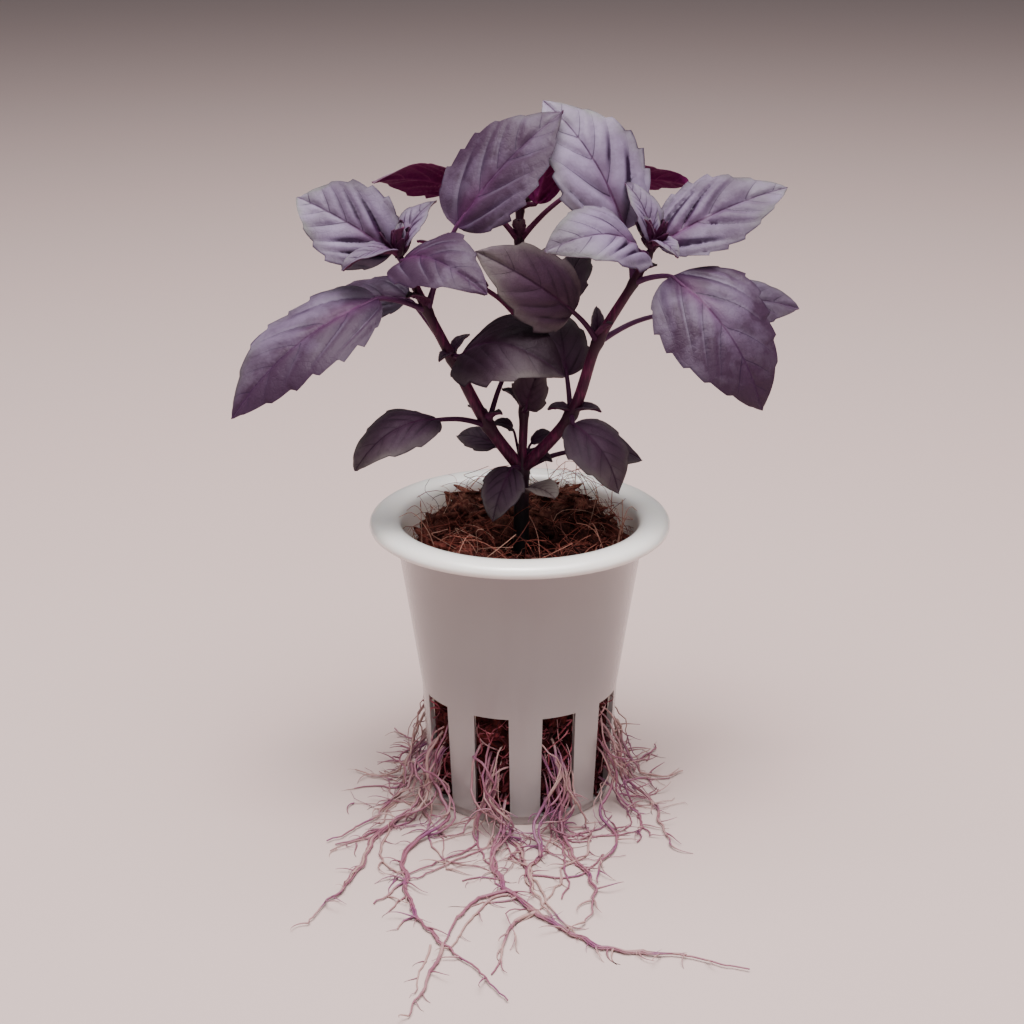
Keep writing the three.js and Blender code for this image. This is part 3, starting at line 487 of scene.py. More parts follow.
class NodeTree:
    """Nodes that are made one by one and joined by plain calls."""

    def __init__(self, tree: bpy.types.NodeTree) -> None:
        """Takes the tree that the nodes go into."""
        self.tree = tree

    def feed(self, socket: Socket, value: Any) -> None:
        """Links a socket to another, or sets its value.

        Args:
            socket: the input.
            value: an output socket, a number, a colour or a vector, or a list for an input that takes many.
        """
        if isinstance(value, list):
            for each in value:
                self.feed(socket, each)
        elif isinstance(value, Socket):
            self.tree.links.new(value, socket)
        elif socket.type == "RGBA" and len(value) == 3:
            socket.default_value = (*value, 1)
        else:
            socket.default_value = value

    def node(self, kind: str, inputs: dict[Any, Any], **settings: Any) -> bpy.types.Node:
        """Adds a node.

        Args:
            kind: the node's type.
            inputs: a value or socket for each input, by name or number.
            **settings: its properties.

        Returns:
            The node.
        """
        made = self.tree.nodes.new(kind)
        for key, value in settings.items():
            setattr(made, key, value)
        for key, value in inputs.items():
            self.feed(made.inputs[key], value)
        return made

    def make(self, kind: str, inputs: dict[Any, Any], **settings: Any) -> Socket:
        """Adds a geometry node of that kind and gives its first result."""
        return self.node(f"GeometryNode{kind}", inputs, **settings).outputs[0]

    def math(self, operation: str, a: Any, b: Any = 0.0, clamp: bool = False) -> Socket:
        """Adds a sum on one or two numbers and gives its result."""
        return self.node("ShaderNodeMath", {0: a, 1: b}, operation=operation, use_clamp=clamp).outputs[0]

    def times(self, *values: Any) -> Socket:
        """Multiplies two numbers or more and gives the product."""
        return reduce(lambda a, b: self.math("MULTIPLY", a, b), values)

    def parts(self, vector: Any) -> bpy.types.NodeOutputs:
        """Splits a vector into its three numbers."""
        return self.node("ShaderNodeSeparateXYZ", {0: vector}).outputs

    def triple(self, x: Any, y: Any, z: Any) -> Socket:
        """Makes a vector of three numbers."""
        return self.node("ShaderNodeCombineXYZ", {0: x, 1: y, 2: z}).outputs[0]


class Graph(NodeTree):
    """A material's nodes, round a Principled shader."""

    def __init__(self, name: str) -> None:
        """Starts the material.

        Args:
            name: what it is called.
        """
        self.material = bpy.data.materials.new(name)
        self.material.use_nodes = True
        super().__init__(self.material.node_tree)
        self.shader = self.tree.nodes["Principled BSDF"]

    def mix(self, share: Any, a: Any, b: Any) -> Socket:
        """Mixes two colours by a share and gives the result."""
        made = self.node("ShaderNodeMix", {0: share, 6: a, 7: b}, data_type="RGBA", clamp_factor=True)
        return made.outputs[2]

    def fade(self, value: Any, low: float, high: float, start: float, end: float) -> Socket:
        """Turns a value from low to high smoothly into one from start to end."""
        inputs = {0: value, 1: low, 2: high, 3: start, 4: end}
        return self.node("ShaderNodeMapRange", inputs, interpolation_type="SMOOTHSTEP").outputs[0]

    def cloud(self, place: Any, scale: float, detail: float = 3, roughness: float = 0.5) -> Socket:
        """Adds a noise at a place and gives its height from 0 to 1."""
        inputs = {"Vector": place, "Scale": scale, "Detail": detail, "Roughness": roughness}
        return self.node("ShaderNodeTexNoise", inputs).outputs[0]

    def place(self) -> Socket:
        """Gives the place on the object, in metres."""
        return self.node("ShaderNodeTexCoord", {}).outputs["Object"]

    def carried(self, name: str) -> Socket:
        """Gives the number that each vertex carries under a name."""
        return self.node("ShaderNodeAttribute", {}, attribute_name=name).outputs["Fac"]

    def out(self, place: Any) -> Socket:
        """Gives how far a place is from the upright axis."""
        flat = self.node("ShaderNodeMapping", {0: place, "Scale": (1, 1, 0)}).outputs[0]
        return self.node("ShaderNodeVectorMath", {0: flat}, operation="LENGTH").outputs["Value"]

    def bump(self, height: Any, strength: float, distance: float) -> None:
        """Adds a bump to the shader."""
        made = self.node("ShaderNodeBump", {"Height": height, "Strength": strength, "Distance": distance})
        self.feed(self.shader.inputs["Normal"], made.outputs[0])

    def surface(self, **values: Any) -> None:
        """Sets the shader's inputs, with an underscore for each space in their names."""
        for key, value in values.items():
            self.feed(self.shader.inputs[key.replace("_", " ")], value)


class Kind(Enum):
    """The kinds of named input that a geometry tree takes."""

    LENGTH = "NodeSocketFloat"
    COUNT = "NodeSocketInt"
    MATERIAL = "NodeSocketMaterial"


class Tree(NodeTree):
    """A geometry node tree with named inputs, made step by step."""

    def __init__(self, name: str) -> None:
        """Starts a tree that takes a geometry and gives one.

        Args:
            name: what it is called.
        """
        super().__init__(bpy.data.node_groups.new(name, "GeometryNodeTree"))
        for way in ("INPUT", "OUTPUT"):
            self.tree.interface.new_socket("Geometry", in_out=way, socket_type="NodeSocketGeometry")
        self.start = self.node("NodeGroupInput", {})
        self.end = self.node("NodeGroupOutput", {})
        self.identifiers: dict[str, str] = {}

    def size(self, name: str, kind: Kind = Kind.LENGTH) -> Socket:
        """Adds a named input.

        Args:
            name: what it is called.
            kind: what it takes.

        Returns:
            The socket that carries it.
        """
        item = self.tree.interface.new_socket(name, in_out="INPUT", socket_type=kind.value)
        self.identifiers[name] = item.identifier
        return self.start.outputs[name]

    def chance(self, low: Any, high: Any, seed: int) -> Socket:
        """Gives a random number for each element."""
        return self.node("FunctionNodeRandomValue", {2: low, 3: high, 8: seed}, data_type="FLOAT").outputs[1]

    def turn(self, low: Point, high: Point, seed: int) -> Socket:
        """Gives random angles in radians for each element."""
        inputs = {0: low, 1: high, 8: seed}
        return self.node("FunctionNodeRandomValue", inputs, data_type="FLOAT_VECTOR").outputs[0]

    def named(self, name: str) -> Socket:
        """Reads a number that each vertex carries."""
        return self.make("InputNamedAttribute", {"Name": name}, data_type="FLOAT")

    def stamp(self, instances: Socket, name: str, low: float, high: float, seed: int) -> Socket:
        """Gives each instance a random number from low to high under a name."""
        inputs = {0: instances, "Name": name, "Value": self.chance(low, high, seed)}
        return self.make("StoreNamedAttribute", inputs, data_type="FLOAT", domain="INSTANCE")

    def dots(self, density: Socket, seed: Socket) -> bpy.types.NodeOutputs:
        """Scatters points over the geometry that the tree takes, as thickly as its cover says."""
        inputs = {0: self.start.outputs[0], "Density": self.times(density, self.named("cover")), "Seed": seed}
        return self.node("GeometryNodeDistributePointsOnFaces", inputs, distribute_method="RANDOM").outputs

    def bent(self, steps: int, start: Point, first: Point, second: Point, end: Point) -> Socket:
        """Makes a curve of some steps from start to end, with a handle near each."""
        ends = {"Start": start, "Start Handle": first, "End Handle": second, "End": end}
        return self.make("CurvePrimitiveBezierSegment", {"Resolution": steps, **ends})

    def circle(self, sides: Any, radius: Any) -> Socket:
        """Makes a round curve."""
        return self.make("CurvePrimitiveCircle", {"Resolution": sides, "Radius": radius})

    def real(self, instances: Socket) -> Socket:
        """Makes instances into real geometry."""
        return self.make("RealizeInstances", {0: instances})

    def position(self) -> Socket:
        """Gives the place of each point."""
        return self.make("InputPosition", {})

    def skin(self, curve: Socket, ring: Socket, radius: Socket) -> Socket:
        """Makes a closed tube along a curve.

        Args:
            curve: its centre line.
            ring: its section, one metre in radius.
            radius: its radius at each place.

        Returns:
            The tube.
        """
        sized = self.make("SetCurveRadius", {0: curve, "Radius": radius})
        made = self.node("GeometryNodeCurveToMesh", {0: sized, 1: ring, "Fill Caps": True})
        if "Scale" in made.inputs:
            self.feed(made.inputs["Scale"], radius)
        return made.outputs[0]

    def finish(self, geometry: Socket, material: Socket) -> None:
        """Ends the tree with real geometry, smooth and with its material.

        Args:
            geometry: what the tree has made.
            material: the material input.
        """
        smooth = self.make("SetShadeSmooth", {0: self.real(geometry)})
        dressed = self.make("SetMaterial", {0: smooth, "Material": material})
        self.feed(self.end.inputs[0], dressed)

    def apply(self, piece: Piece, values: dict[str, Any]) -> None:
        """Runs the tree on an object and keeps the result as its plain mesh.

        Args:
            piece: the object.
            values: a value for each named input.
        """
        modifier = piece.modifiers.new(self.tree.name, "NODES")
        modifier.node_group = self.tree
        for name, value in values.items():
            modifier[self.identifiers[name]] = value
        graph = bpy.context.evaluated_depsgraph_get()
        mesh = bpy.data.meshes.new_from_object(
            piece.evaluated_get(graph), preserve_all_data_layers=True, depsgraph=graph
        )
        piece.modifiers.remove(modifier)
        piece.data = mesh


def strand_tree() -> Tree:
    """Makes the tree that gives thickness to strands and lets side roots sprout from them.

    Returns:
        A tree that takes lines whose vertices carry thickness, sprout and tint.
    """
    tree = Tree("strand")
    sides = tree.size("Sides", Kind.COUNT)
    spacing = tree.size("Sprout Spacing")
    shortest = tree.size("Shortest Sprout")
    longest = tree.size("Longest Sprout")
    girth = tree.size("Sprout Girth")
    floor = tree.size("Floor")
    material = tree.size("Material", Kind.MATERIAL)

    curve = tree.make("MeshToCurve", {0: tree.start.outputs[0]})
    skin = tree.skin(curve, tree.circle(sides, 1.0), tree.named("thickness"))

    dots = tree.make("CurveToPoints", {0: curve, "Length": spacing}, mode="LENGTH")
    chosen = tree.math("LESS_THAN", tree.chance(0.0, 1.0, 3), tree.named("sprout"))
    bow = tree.bent(6, (0, 0, 0), (0.33, 0.12, 0.06), (0.66, -0.1, 0.03), (1, 0.16, -0.06))
    hook = tree.bent(6, (0, 0, 0), (0.4, -0.1, 0.1), (0.75, 0.2, 0.08), (0.85, 0.5, -0.05))
    thin = tree.circle(4, 1.0)
    factor = tree.node("GeometryNodeSplineParameter", {}).outputs["Factor"]
    taper = tree.times(girth, tree.math("SUBTRACT", 1.0, tree.times(factor, 0.75)))
    shapes = [tree.skin(shape, thin, taper) for shape in (bow, hook)]
    pool = tree.make("GeometryToInstance", {0: shapes})
    x, y, z = tree.parts(tree.position())
    way = tree.math("ADD", tree.math("ARCTAN2", y, x), tree.chance(-1.6, 1.6, 5))
    angles = tree.triple(tree.chance(-0.6, 0.6, 7), tree.chance(-0.35, 0.3, 9), way)
    sprouts = tree.make("InstanceOnPoints", {
        "Points": dots, "Selection": chosen, "Instance": pool, "Pick Instance": True,
        "Rotation": angles, "Scale": tree.chance(shortest, longest, 11),
    })
    tinted = tree.stamp(sprouts, "tint", 0.0, 1.0, 13)
    real = tree.real(tinted)
    both = tree.make("JoinGeometry", {0: [skin, real]})
    above = tree.triple(x, y, tree.math("MAXIMUM", z, floor))
    kept = tree.make("SetPosition", {0: both, "Position": above})
    tree.finish(kept, material)
    return tree


def fibre_tree() -> Tree:
    """Makes the tree that scatters bent fibres over a surface.

    Returns:
        A tree that takes a surface whose vertices carry a number from 0 to 1 named cover.
    """
    tree = Tree("fibre")
    density = tree.size("Density")
    seed = tree.size("Seed", Kind.COUNT)
    shortest = tree.size("Shortest")
    longest = tree.size("Longest")
    girth = tree.size("Girth Share")
    lean = tree.size("Lean")
    material = tree.size("Material", Kind.MATERIAL)

    dots = tree.dots(density, seed)
    ring = tree.circle(3, girth)
    bends = [
        ((0.3, 0.25, 0.16), (0.7, -0.3, 0.2), (1, 0.05, 0.0)),
        ((0.35, -0.35, 0.25), (0.6, 0.4, 0.1), (0.95, -0.1, -0.04)),
        ((0.2, 0.1, 0.35), (0.8, 0.15, 0.4), (0.9, 0.4, 0.02)),
        ((0.6, 0.5, 0.12), (0.2, 0.8, 0.25), (0.5, -0.1, 0.05)),
        ((0.3, 0.03, 0.05), (0.6, -0.05, 0.12), (1.1, 0.1, 0.1)),
    ]
    shapes = []
    for first, second, last in bends:
        bent = tree.bent(7, (0, 0, -0.04), first, second, last)
        shapes.append(tree.make("CurveToMesh", {0: bent, 1: ring, "Fill Caps": True}))
    pool = tree.make("GeometryToInstance", {0: shapes})
    laid = tree.make("InstanceOnPoints", {
        "Points": dots["Points"], "Instance": pool, "Pick Instance": True,
        "Rotation": dots["Rotation"], "Scale": tree.chance(shortest, longest, 17),
    })
    aside = tree.times(lean, tree.chance(-1.0, 1.0, 19))
    ahead = tree.times(lean, tree.chance(-1.0, 0.6, 23))
    tilt = tree.triple(aside, ahead, tree.chance(0.0, math.tau, 29))
    turned = tree.make("RotateInstances", {0: laid, "Rotation": tilt})
    tree.finish(tree.stamp(turned, "tint", 0.0, 1.0, 31), material)
    return tree


def clod_tree() -> Tree:
    """Makes the tree that scatters shreds of husk over a surface.

    Returns:
        A tree that takes a surface whose vertices carry a number from 0 to 1 named cover.
    """
    tree = Tree("clod")
    density = tree.size("Density")
    seed = tree.size("Seed", Kind.COUNT)
    smallest = tree.size("Smallest")
    largest = tree.size("Largest")
    rough = tree.size("Roughness")
    material = tree.size("Material", Kind.MATERIAL)

    dots = tree.dots(density, seed)
    ball = tree.make("MeshIcoSphere", {"Radius": 1.0, "Subdivisions": 2})
    size = tree.chance(smallest, largest, 37)
    shares = ((1.0, 3.0, 41), (0.3, 0.7, 43), (0.15, 0.45, 47))
    stretch = tree.triple(*(tree.times(size, tree.chance(*share)) for share in shares))
    laid = tree.make("InstanceOnPoints", {
        "Points": dots["Points"], "Instance": ball, "Scale": stretch,
        "Rotation": tree.turn((-0.7, -0.7, 0.0), (0.7, 0.7, math.tau), 53),
    })
    tinted = tree.stamp(laid, "rim", -0.35, 1.0, 59)
    real = tree.real(tinted)
    noise_inputs = {"Vector": tree.position(), "Scale": 620.0, "Detail": 3.0}
    grain = tree.node("ShaderNodeTexNoise", noise_inputs).outputs[1]
    shift = tree.node("ShaderNodeVectorMath", {0: grain, 1: (0.5, 0.5, 0.5)}, operation="SUBTRACT").outputs[0]
    push = tree.node("ShaderNodeVectorMath", {0: shift, "Scale": rough}, operation="SCALE").outputs[0]
    torn = tree.make("SetPosition", {0: real, "Offset": push})
    tree.finish(torn, material)
    return tree


def slot_tree() -> Tree:
    """Makes the tree that cuts a ring of upright slots in a cup.

    Returns:
        The tree.
    """
    tree = Tree("slot")
    count = tree.size("Slots", Kind.COUNT)
    width = tree.size("Slot Width")
    depth = tree.size("Cutter Depth")
    height = tree.size("Slot Height")
    foot = tree.size("Slot Foot")
    radius = tree.size("Wall Radius")
    first = tree.size("First Slot")
    material = tree.size("Material", Kind.MATERIAL)

    block = tree.make("MeshCube", {"Size": tree.triple(depth, width, height)})
    ring = tree.make("MeshCircle", {"Vertices": count, "Radius": radius})
    middle = tree.math("ADD", foot, tree.times(height, 0.5))
    raised = tree.make("Transform", {
        0: ring, "Translation": tree.triple(0.0, 0.0, middle), "Rotation": tree.triple(0.0, 0.0, first),
    })
    x, y, _ = tree.parts(tree.position())
    facing = tree.triple(0.0, 0.0, tree.math("ARCTAN2", y, x))
    inputs = {"Points": raised, "Instance": block, "Rotation": facing}
    cutters = tree.make("InstanceOnPoints", inputs)
    real = tree.real(cutters)
    cut = tree.make("MeshBoolean", {0: tree.start.outputs[0], 1: real},
                    operation="DIFFERENCE", solver="EXACT")
    tree.finish(cut, material)
    return tree


# ---- finishes


@dataclass(frozen=True)
class CupFinish:
    """Off-white moulded plastic with a faint mottle and soft gloss; painted shade darkens its outer wall,
    painted floor light lifts it near the foot, and painted light brightens the inside.
    """

    # colour and cooler are the outer wall in painted shade, low is painted light bounced from the floor near
    # the foot, inner is the inside with painted light, and pale is the rim's own off-white.
    colour: Colour = (0.234, 0.21, 0.208)
    cooler: Colour = (0.25, 0.238, 0.226)
    low: Colour = (0.32, 0.284, 0.276)
    inner: Colour = (0.88, 0.8, 0.72)
    pale: Colour = (0.92, 0.885, 0.83)
    roughness: float = 0.27
    wall_axis: float = 0.01634
    wall_slope: float = 0.1474

    def material(self) -> Material:
        """Makes the material.

        Returns:
            The material.
        """
        g = Graph("cup_plastic")
        at = g.place()
        mottle = g.cloud(at, 45, 2)
        height = g.parts(at)[2]
        rim = g.fade(height, 0.058, 0.061, 0, 1)
        middle = g.math("ADD", g.times(height, self.wall_slope), self.wall_axis)
        inside = g.math("LESS_THAN", g.out(at), middle)
        # Painted shade on the outer wall, lifted by painted floor light near the foot, then painted light on
        # the inside.
        base = g.mix(g.fade(mottle, 0.3, 0.7, 0, 0.4), self.colour, self.cooler)
        base = g.mix(g.fade(height, 0.014, 0.036, 0, 1), self.low, base)
        base = g.mix(inside, base, self.inner)
        g.surface(Base_Color=g.mix(rim, base, self.pale), Roughness=self.roughness,
                  Subsurface_Weight=0.12, Subsurface_Radius=(0.004, 0.003, 0.002), IOR=1.49,
                  Coat_Weight=0.8, Coat_Roughness=0.2)
        g.bump(g.cloud(at, 900, 2), 0.05, 0.0002)
        return g.material


@dataclass(frozen=True)
class CoirFinish:
    """Crumbled coir: dark red-brown, rusty and tan on the lumps, with painted shade in the hollows and
    painted shadow with damp round the stem.
    """

    name: str = "coir_crumb"
    # deep is the colour of the painted shade in the hollows and of the painted shadow round the stem.
    deep: Colour = (0.007, 0.002, 0.002)
    brown: Colour = (0.066, 0.013, 0.012)
    rust: Colour = (0.27, 0.075, 0.056)
    wet: Colour = (0.13, 0.016, 0.02)
    tan: Colour = (0.27, 0.125, 0.082)
    # The middle of the painted shadow of the leaves, with damp darkening, round the stem.
    damp_shadow_centre: Point = (0.006, -0.005, 0)

    def material(self) -> Material:
        """Makes the material.

        Returns:
            The material.
        """
        g = Graph(self.name)
        at = g.place()
        grain = g.cloud(at, 900, 5, 0.65)
        lump = g.cloud(at, 240, 4, 0.6)
        relief = g.carried("rim")
        _, depth, height = g.parts(at)
        rust = g.mix(g.fade(depth, -0.004, 0.012, 0, 0.65), self.rust, self.tan)
        rust = g.mix(g.fade(height, 0.03, 0.045, 0.8, 0), rust, self.wet)
        body = g.mix(g.fade(grain, 0.35, 0.7, 0, 1), self.brown, rust)
        # hollow is painted shade that darkens the low parts of the plug's crumb; on the shreds it darkens
        # some at random.
        hollow = g.times(g.fade(relief, -0.5, 0.75, 1, 0), g.fade(lump, 0.2, 0.8, 1, 0.6))
        # Painted shadow of the leaves, together with damp, darkens the coir round the stem towards deep.
        beside = g.node("ShaderNodeVectorMath", {0: at, 1: self.damp_shadow_centre}, operation="SUBTRACT").outputs[0]
        damp = g.fade(g.math("ADD", g.out(beside), g.times(lump, 0.01)), 0.01, 0.024, 0.85, 0)
        body = g.mix(damp, g.mix(hollow, body, self.deep), self.deep)
        g.surface(Base_Color=body, Roughness=0.95, Specular_IOR_Level=0.1)
        g.bump(g.math("ADD", grain, lump), 0.9, 0.0012)
        return g.material


@dataclass(frozen=True)
class FibreFinish:
    """Coir fibres from dark red-brown to dry tan, each with its own tint."""

    name: str = "coir_fibre"
    dark: Colour = (0.06, 0.014, 0.011)
    red: Colour = (0.25, 0.06, 0.042)
    tan: Colour = (0.48, 0.28, 0.21)

    def material(self) -> Material:
        """Makes the material.

        Returns:
            The material.
        """
        g = Graph(self.name)
        tint = g.carried("tint")
        low = g.mix(g.fade(tint, 0.0, 0.6, 0, 1), self.dark, self.red)
        grain = g.cloud(g.place(), 700, 3)
        share = g.times(g.fade(tint, 0.75, 1.0, 0, 1), g.fade(grain, 0.25, 0.6, 0.6, 1))
        g.surface(Base_Color=g.mix(share, low, self.tan), Roughness=0.8, Specular_IOR_Level=0.2)
        return g.material


@dataclass(frozen=True)
class RootFinish:
    """Living roots: pinkish beige with mauve and violet stretches."""

    beige: Colour = (0.38, 0.225, 0.205)
    mauve: Colour = (0.24, 0.085, 0.125)
    violet: Colour = (0.17, 0.032, 0.125)

    def material(self) -> Material:
        """Makes the material.

        Returns:
            The material.
        """
        g = Graph("root_skin")
        at = g.place()
        tint = g.carried("tint")
        patch = g.math("ADD", g.cloud(at, 110, 3), g.times(tint, 0.55))
        first = g.mix(g.fade(patch, 0.55, 0.95, 0, 1), self.beige, self.mauve)
        streak = g.times(g.fade(g.cloud(at, 130, 2), 0.52, 0.68, 0, 1), 0.75)
        g.surface(Base_Color=g.mix(streak, first, self.violet), Roughness=0.5,
                  Subsurface_Weight=0.1, Subsurface_Radius=(0.001, 0.0006, 0.0006))
        g.bump(g.cloud(at, 1500, 3), 0.3, 0.0002)
        return g.material


@dataclass(frozen=True)
class StemFinish:
    """Ribbed stem skin: near black low down, plum above, with red streaks along it."""

    foot: Colour = (0.011, 0.009, 0.01)
    plum: Colour = (0.042, 0.004, 0.022)
    red: Colour = (0.13, 0.013, 0.056)

    def material(self) -> Material:
        """Makes the material.

        Returns:
            The material.
        """
        g = Graph("stem_skin")
        at = g.place()
        height = g.parts(at)[2]
        drawn = g.node("ShaderNodeMapping", {0: at, "Scale": (1, 1, 0.15)}).outputs[0]
        streak = g.fade(g.cloud(drawn, 1900, 4), 0.4, 0.8, 0, 1)
        joint = g.carried("rim")
        plum = g.mix(g.math("SUBTRACT", streak, joint, clamp=True), self.plum, self.red)
        plum = g.mix(g.times(joint, 0.6), plum, self.foot)
        g.surface(Base_Color=g.mix(g.fade(height, 0.06, 0.078, 1, 0), plum, self.foot), Roughness=0.5,
                  Specular_IOR_Level=0.2)
        g.bump(g.cloud(drawn, 1400, 3), 0.3, 0.0002)
        return g.material


@dataclass(frozen=True)
class LeafFinish:
    """Leaf skin with sunken dark veins, a wine midrib, greyer edges and a coloured underside, with painted
    shade by the veins, at the base and where a leaf lies in shade, and a painted highlight between the veins.
    """

    name: str
    face: Colour
    # deep is the colour that the shade number mixes in: painted shade together with the leaf's own darker
    # purple.
    deep: Colour
    edge: Colour
    vein: Colour
    rib: Colour
    under: Colour
    under_vein: Colour
    roughness: float = 0.5
    gloss: float = 0.42
    veining: float = 1.0
    # The colour of the painted highlight on the puff before each vein.
    crest_highlight: Colour = (0.34, 0.29, 0.38)

    def material(self) -> Material:
        """Makes the material.

        Returns:
            The material.
        """
        g = Graph(self.name)
        at = g.place()
        marks = g.node("ShaderNodeAttribute", {}, attribute_name="pattern")
        split = g.node("ShaderNodeSeparateColor", {0: marks.outputs["Color"]})
        order, span, part = split.outputs[0], split.outputs[1], split.outputs[2]
        pitch = marks.outputs["Alpha"]
        rim = g.carried("rim")
        side = g.carried("side")
        shade = g.carried("shade")
        uv = g.node("ShaderNodeUVMap", {}, uv_map="blade").outputs[0]

        wrapped = g.math("FRACT", g.math("ADD", order, 0.5))
        away = g.times(g.math("ABSOLUTE", g.math("SUBTRACT", wrapped, 0.5)), pitch)
        thinning = g.math("ADD", away, g.times(rim, 0.14))
        inner = g.fade(rim, 0.72, 0.95, 1, 0)
        line = g.times(g.fade(thinning, 0.06, 0.27, 1, 0), inner)
        # crease makes the dark halo by the veins stronger near the base and the midrib: painted shade in the
        # valleys there, over the veins' own tint.
        crease = g.times(g.fade(part, 0.1, 0.7, 1, 0.35), g.fade(rim, 0.15, 0.9, 1, 0.2))
        halo = g.times(g.fade(away, 0.0, 1.5, 1, 0), inner, crease)
        midrib = g.fade(g.math("ADD", span, g.times(part, 0.14)), 0.12, 0.4, 1, 0)
        broad = g.times(g.fade(span, 0.0, 3.4, 1, 0), g.fade(part, 0.0, 0.62, 1.2, 0.12))
        net = g.node("ShaderNodeTexVoronoi", {"Vector": uv, "Scale": 9.0}, feature="DISTANCE_TO_EDGE")
        mesh = g.fade(net.outputs["Distance"], 0.0, 0.16, 1, 0)

        # The shade number mixes the face towards deep: painted shade where a leaf or one side of it lies in
        # shade, with the leaf's own darker purple; patch varies it at random.
        patch = g.fade(g.cloud(at, 105, 4, 0.6), 0.36, 0.66, -0.16, 0.2)
        depth = g.math("ADD", shade, patch, clamp=True)
        face = g.mix(depth, self.face, self.deep)
        fringe = g.math("ADD", g.fade(rim, 0.6, 1.0, 0, 0.65), g.fade(part, 0.45, 0.95, 0, 0.75))
        edged = g.math("MULTIPLY", fringe, g.fade(g.cloud(at, 160, 3), 0.3, 0.62, 0.3, 1), clamp=True)
        face = g.mix(edged, face, g.mix(depth, self.edge, self.deep))
        broken = g.fade(g.cloud(at, 140, 1), 0.4, 0.6, 0.3, 1)
        outline = g.times(g.fade(rim, 0.93, 1.0, 0, 0.9), broken)
        face = g.mix(g.math("MAXIMUM", g.times(mesh, 0.05), outline), face, self.vein)
        # fold is painted shade in the trough on the tip side of each vein, in a belt across the blade and
        # weaker on leaves with much shade.
        between = g.math("FRACT", order)
        belt = g.times(g.fade(rim, 0.06, 0.32, 0.1, 1), g.fade(rim, 0.5, 0.85, 1, 0),
                       g.fade(part, 0.2, 0.8, 1, 0))
        lens = g.times(belt, g.fade(g.cloud(at, 85, 1), 0.42, 0.56, 0.12, 1))
        fold = g.times(g.fade(between, 0.07, 0.4, 1, 0), g.fade(between, 0.0, 0.07, 0.3, 1))
        fold = g.times(fold, lens, g.fade(shade, 0.6, 0.75, 1, 0.4))
        # A painted highlight on the puff just before each vein, in the belt across the blade.
        crest_highlight = g.times(g.fade(between, 0.78, 0.95, 0, 1), belt)
        face = g.mix(g.times(crest_highlight, 0.17 * self.veining), face, self.crest_highlight)
        face = g.mix(g.math("MULTIPLY", fold, 1.9 * self.veining, clamp=True), face, self.vein)
        face = g.mix(g.times(halo, 0.4 * self.veining), face, self.vein)
        face = g.mix(g.times(broad, 0.6 * self.veining), face, self.rib)
        # heel darkens the base of the blade with the vein colour as painted shade in its folds.
        heel = g.times(g.fade(part, 0.0, 0.2, 0.6, 0), g.fade(rim, 0.2, 1.0, 1, 0.3))
        face = g.mix(g.math("MAXIMUM", heel, g.times(line, 0.8 * self.veining)), face, self.vein)
        ribbed = g.mix(g.fade(part, 0.05, 0.6, 0, 0.75), self.rib, self.vein)
        face = g.mix(g.times(midrib, 0.8), face, ribbed)
        back = g.mix(g.times(g.math("MAXIMUM", line, midrib), 0.7), self.under, self.under_vein)
        back = g.mix(g.times(mesh, 0.15), back, self.under_vein)
        g.surface(Base_Color=g.mix(side, face, back), Roughness=self.roughness,
                  Specular_IOR_Level=self.gloss)
        grain = g.times(g.cloud(at, 1500, 4, 0.6), 0.7)
        net_depth = g.math("MAXIMUM", g.times(mesh, 0.4), line)
        relief = g.math("SUBTRACT", grain, g.times(net_depth, 0.5))
        g.bump(relief, 0.3, 0.0003)
        return g.material


LEAF_FINISHES = {
    Tone.LIT: LeafFinish(
        "leaf_lit", face=(0.222, 0.168, 0.264), deep=(0.037, 0.017, 0.036), edge=(0.15, 0.142, 0.142),
        vein=(0.02, 0.007, 0.025), rib=(0.07, 0.016, 0.06), under=(0.105, 0.025, 0.065),
        under_vein=(0.15, 0.03, 0.09), gloss=0.17,
    ),
    Tone.SHADED: LeafFinish(
        "leaf_shaded", face=(0.048, 0.023, 0.042), deep=(0.01, 0.003, 0.007), edge=(0.105, 0.086, 0.084),
        vein=(0.009, 0.003, 0.008), rib=(0.04, 0.006, 0.03), under=(0.055, 0.012, 0.038),
        under_vein=(0.04, 0.01, 0.025), roughness=0.55, gloss=0.11, veining=0.5, crest_highlight=(0.07, 0.04, 0.065),
    ),
    Tone.WINE: LeafFinish(
        "leaf_wine", face=(0.15, 0.09, 0.13), deep=(0.08, 0.035, 0.065), edge=(0.14, 0.11, 0.12),
        vein=(0.03, 0.008, 0.022), rib=(0.08, 0.015, 0.045), under=(0.09, 0.004, 0.05),
        under_vein=(0.16, 0.02, 0.085), roughness=0.65, gloss=0.05,
    ),
    Tone.BUD: LeafFinish(
        "leaf_bud", face=(0.038, 0.006, 0.03), deep=(0.01, 0.003, 0.01), edge=(0.06, 0.03, 0.05),
        vein=(0.02, 0.003, 0.014), rib=(0.055, 0.007, 0.035), under=(0.045, 0.005, 0.03),
        under_vein=(0.03, 0.004, 0.018), gloss=0.15, veining=0.3,
    ),
    Tone.PALE: LeafFinish(
        "leaf_pale", face=(0.2, 0.16, 0.145), deep=(0.1, 0.07, 0.07), edge=(0.24, 0.21, 0.18),
        vein=(0.06, 0.03, 0.035), rib=(0.08, 0.035, 0.05), under=(0.16, 0.11, 0.11),
        under_vein=(0.1, 0.05, 0.05),
    ),
}


# ---- sub-assemblies


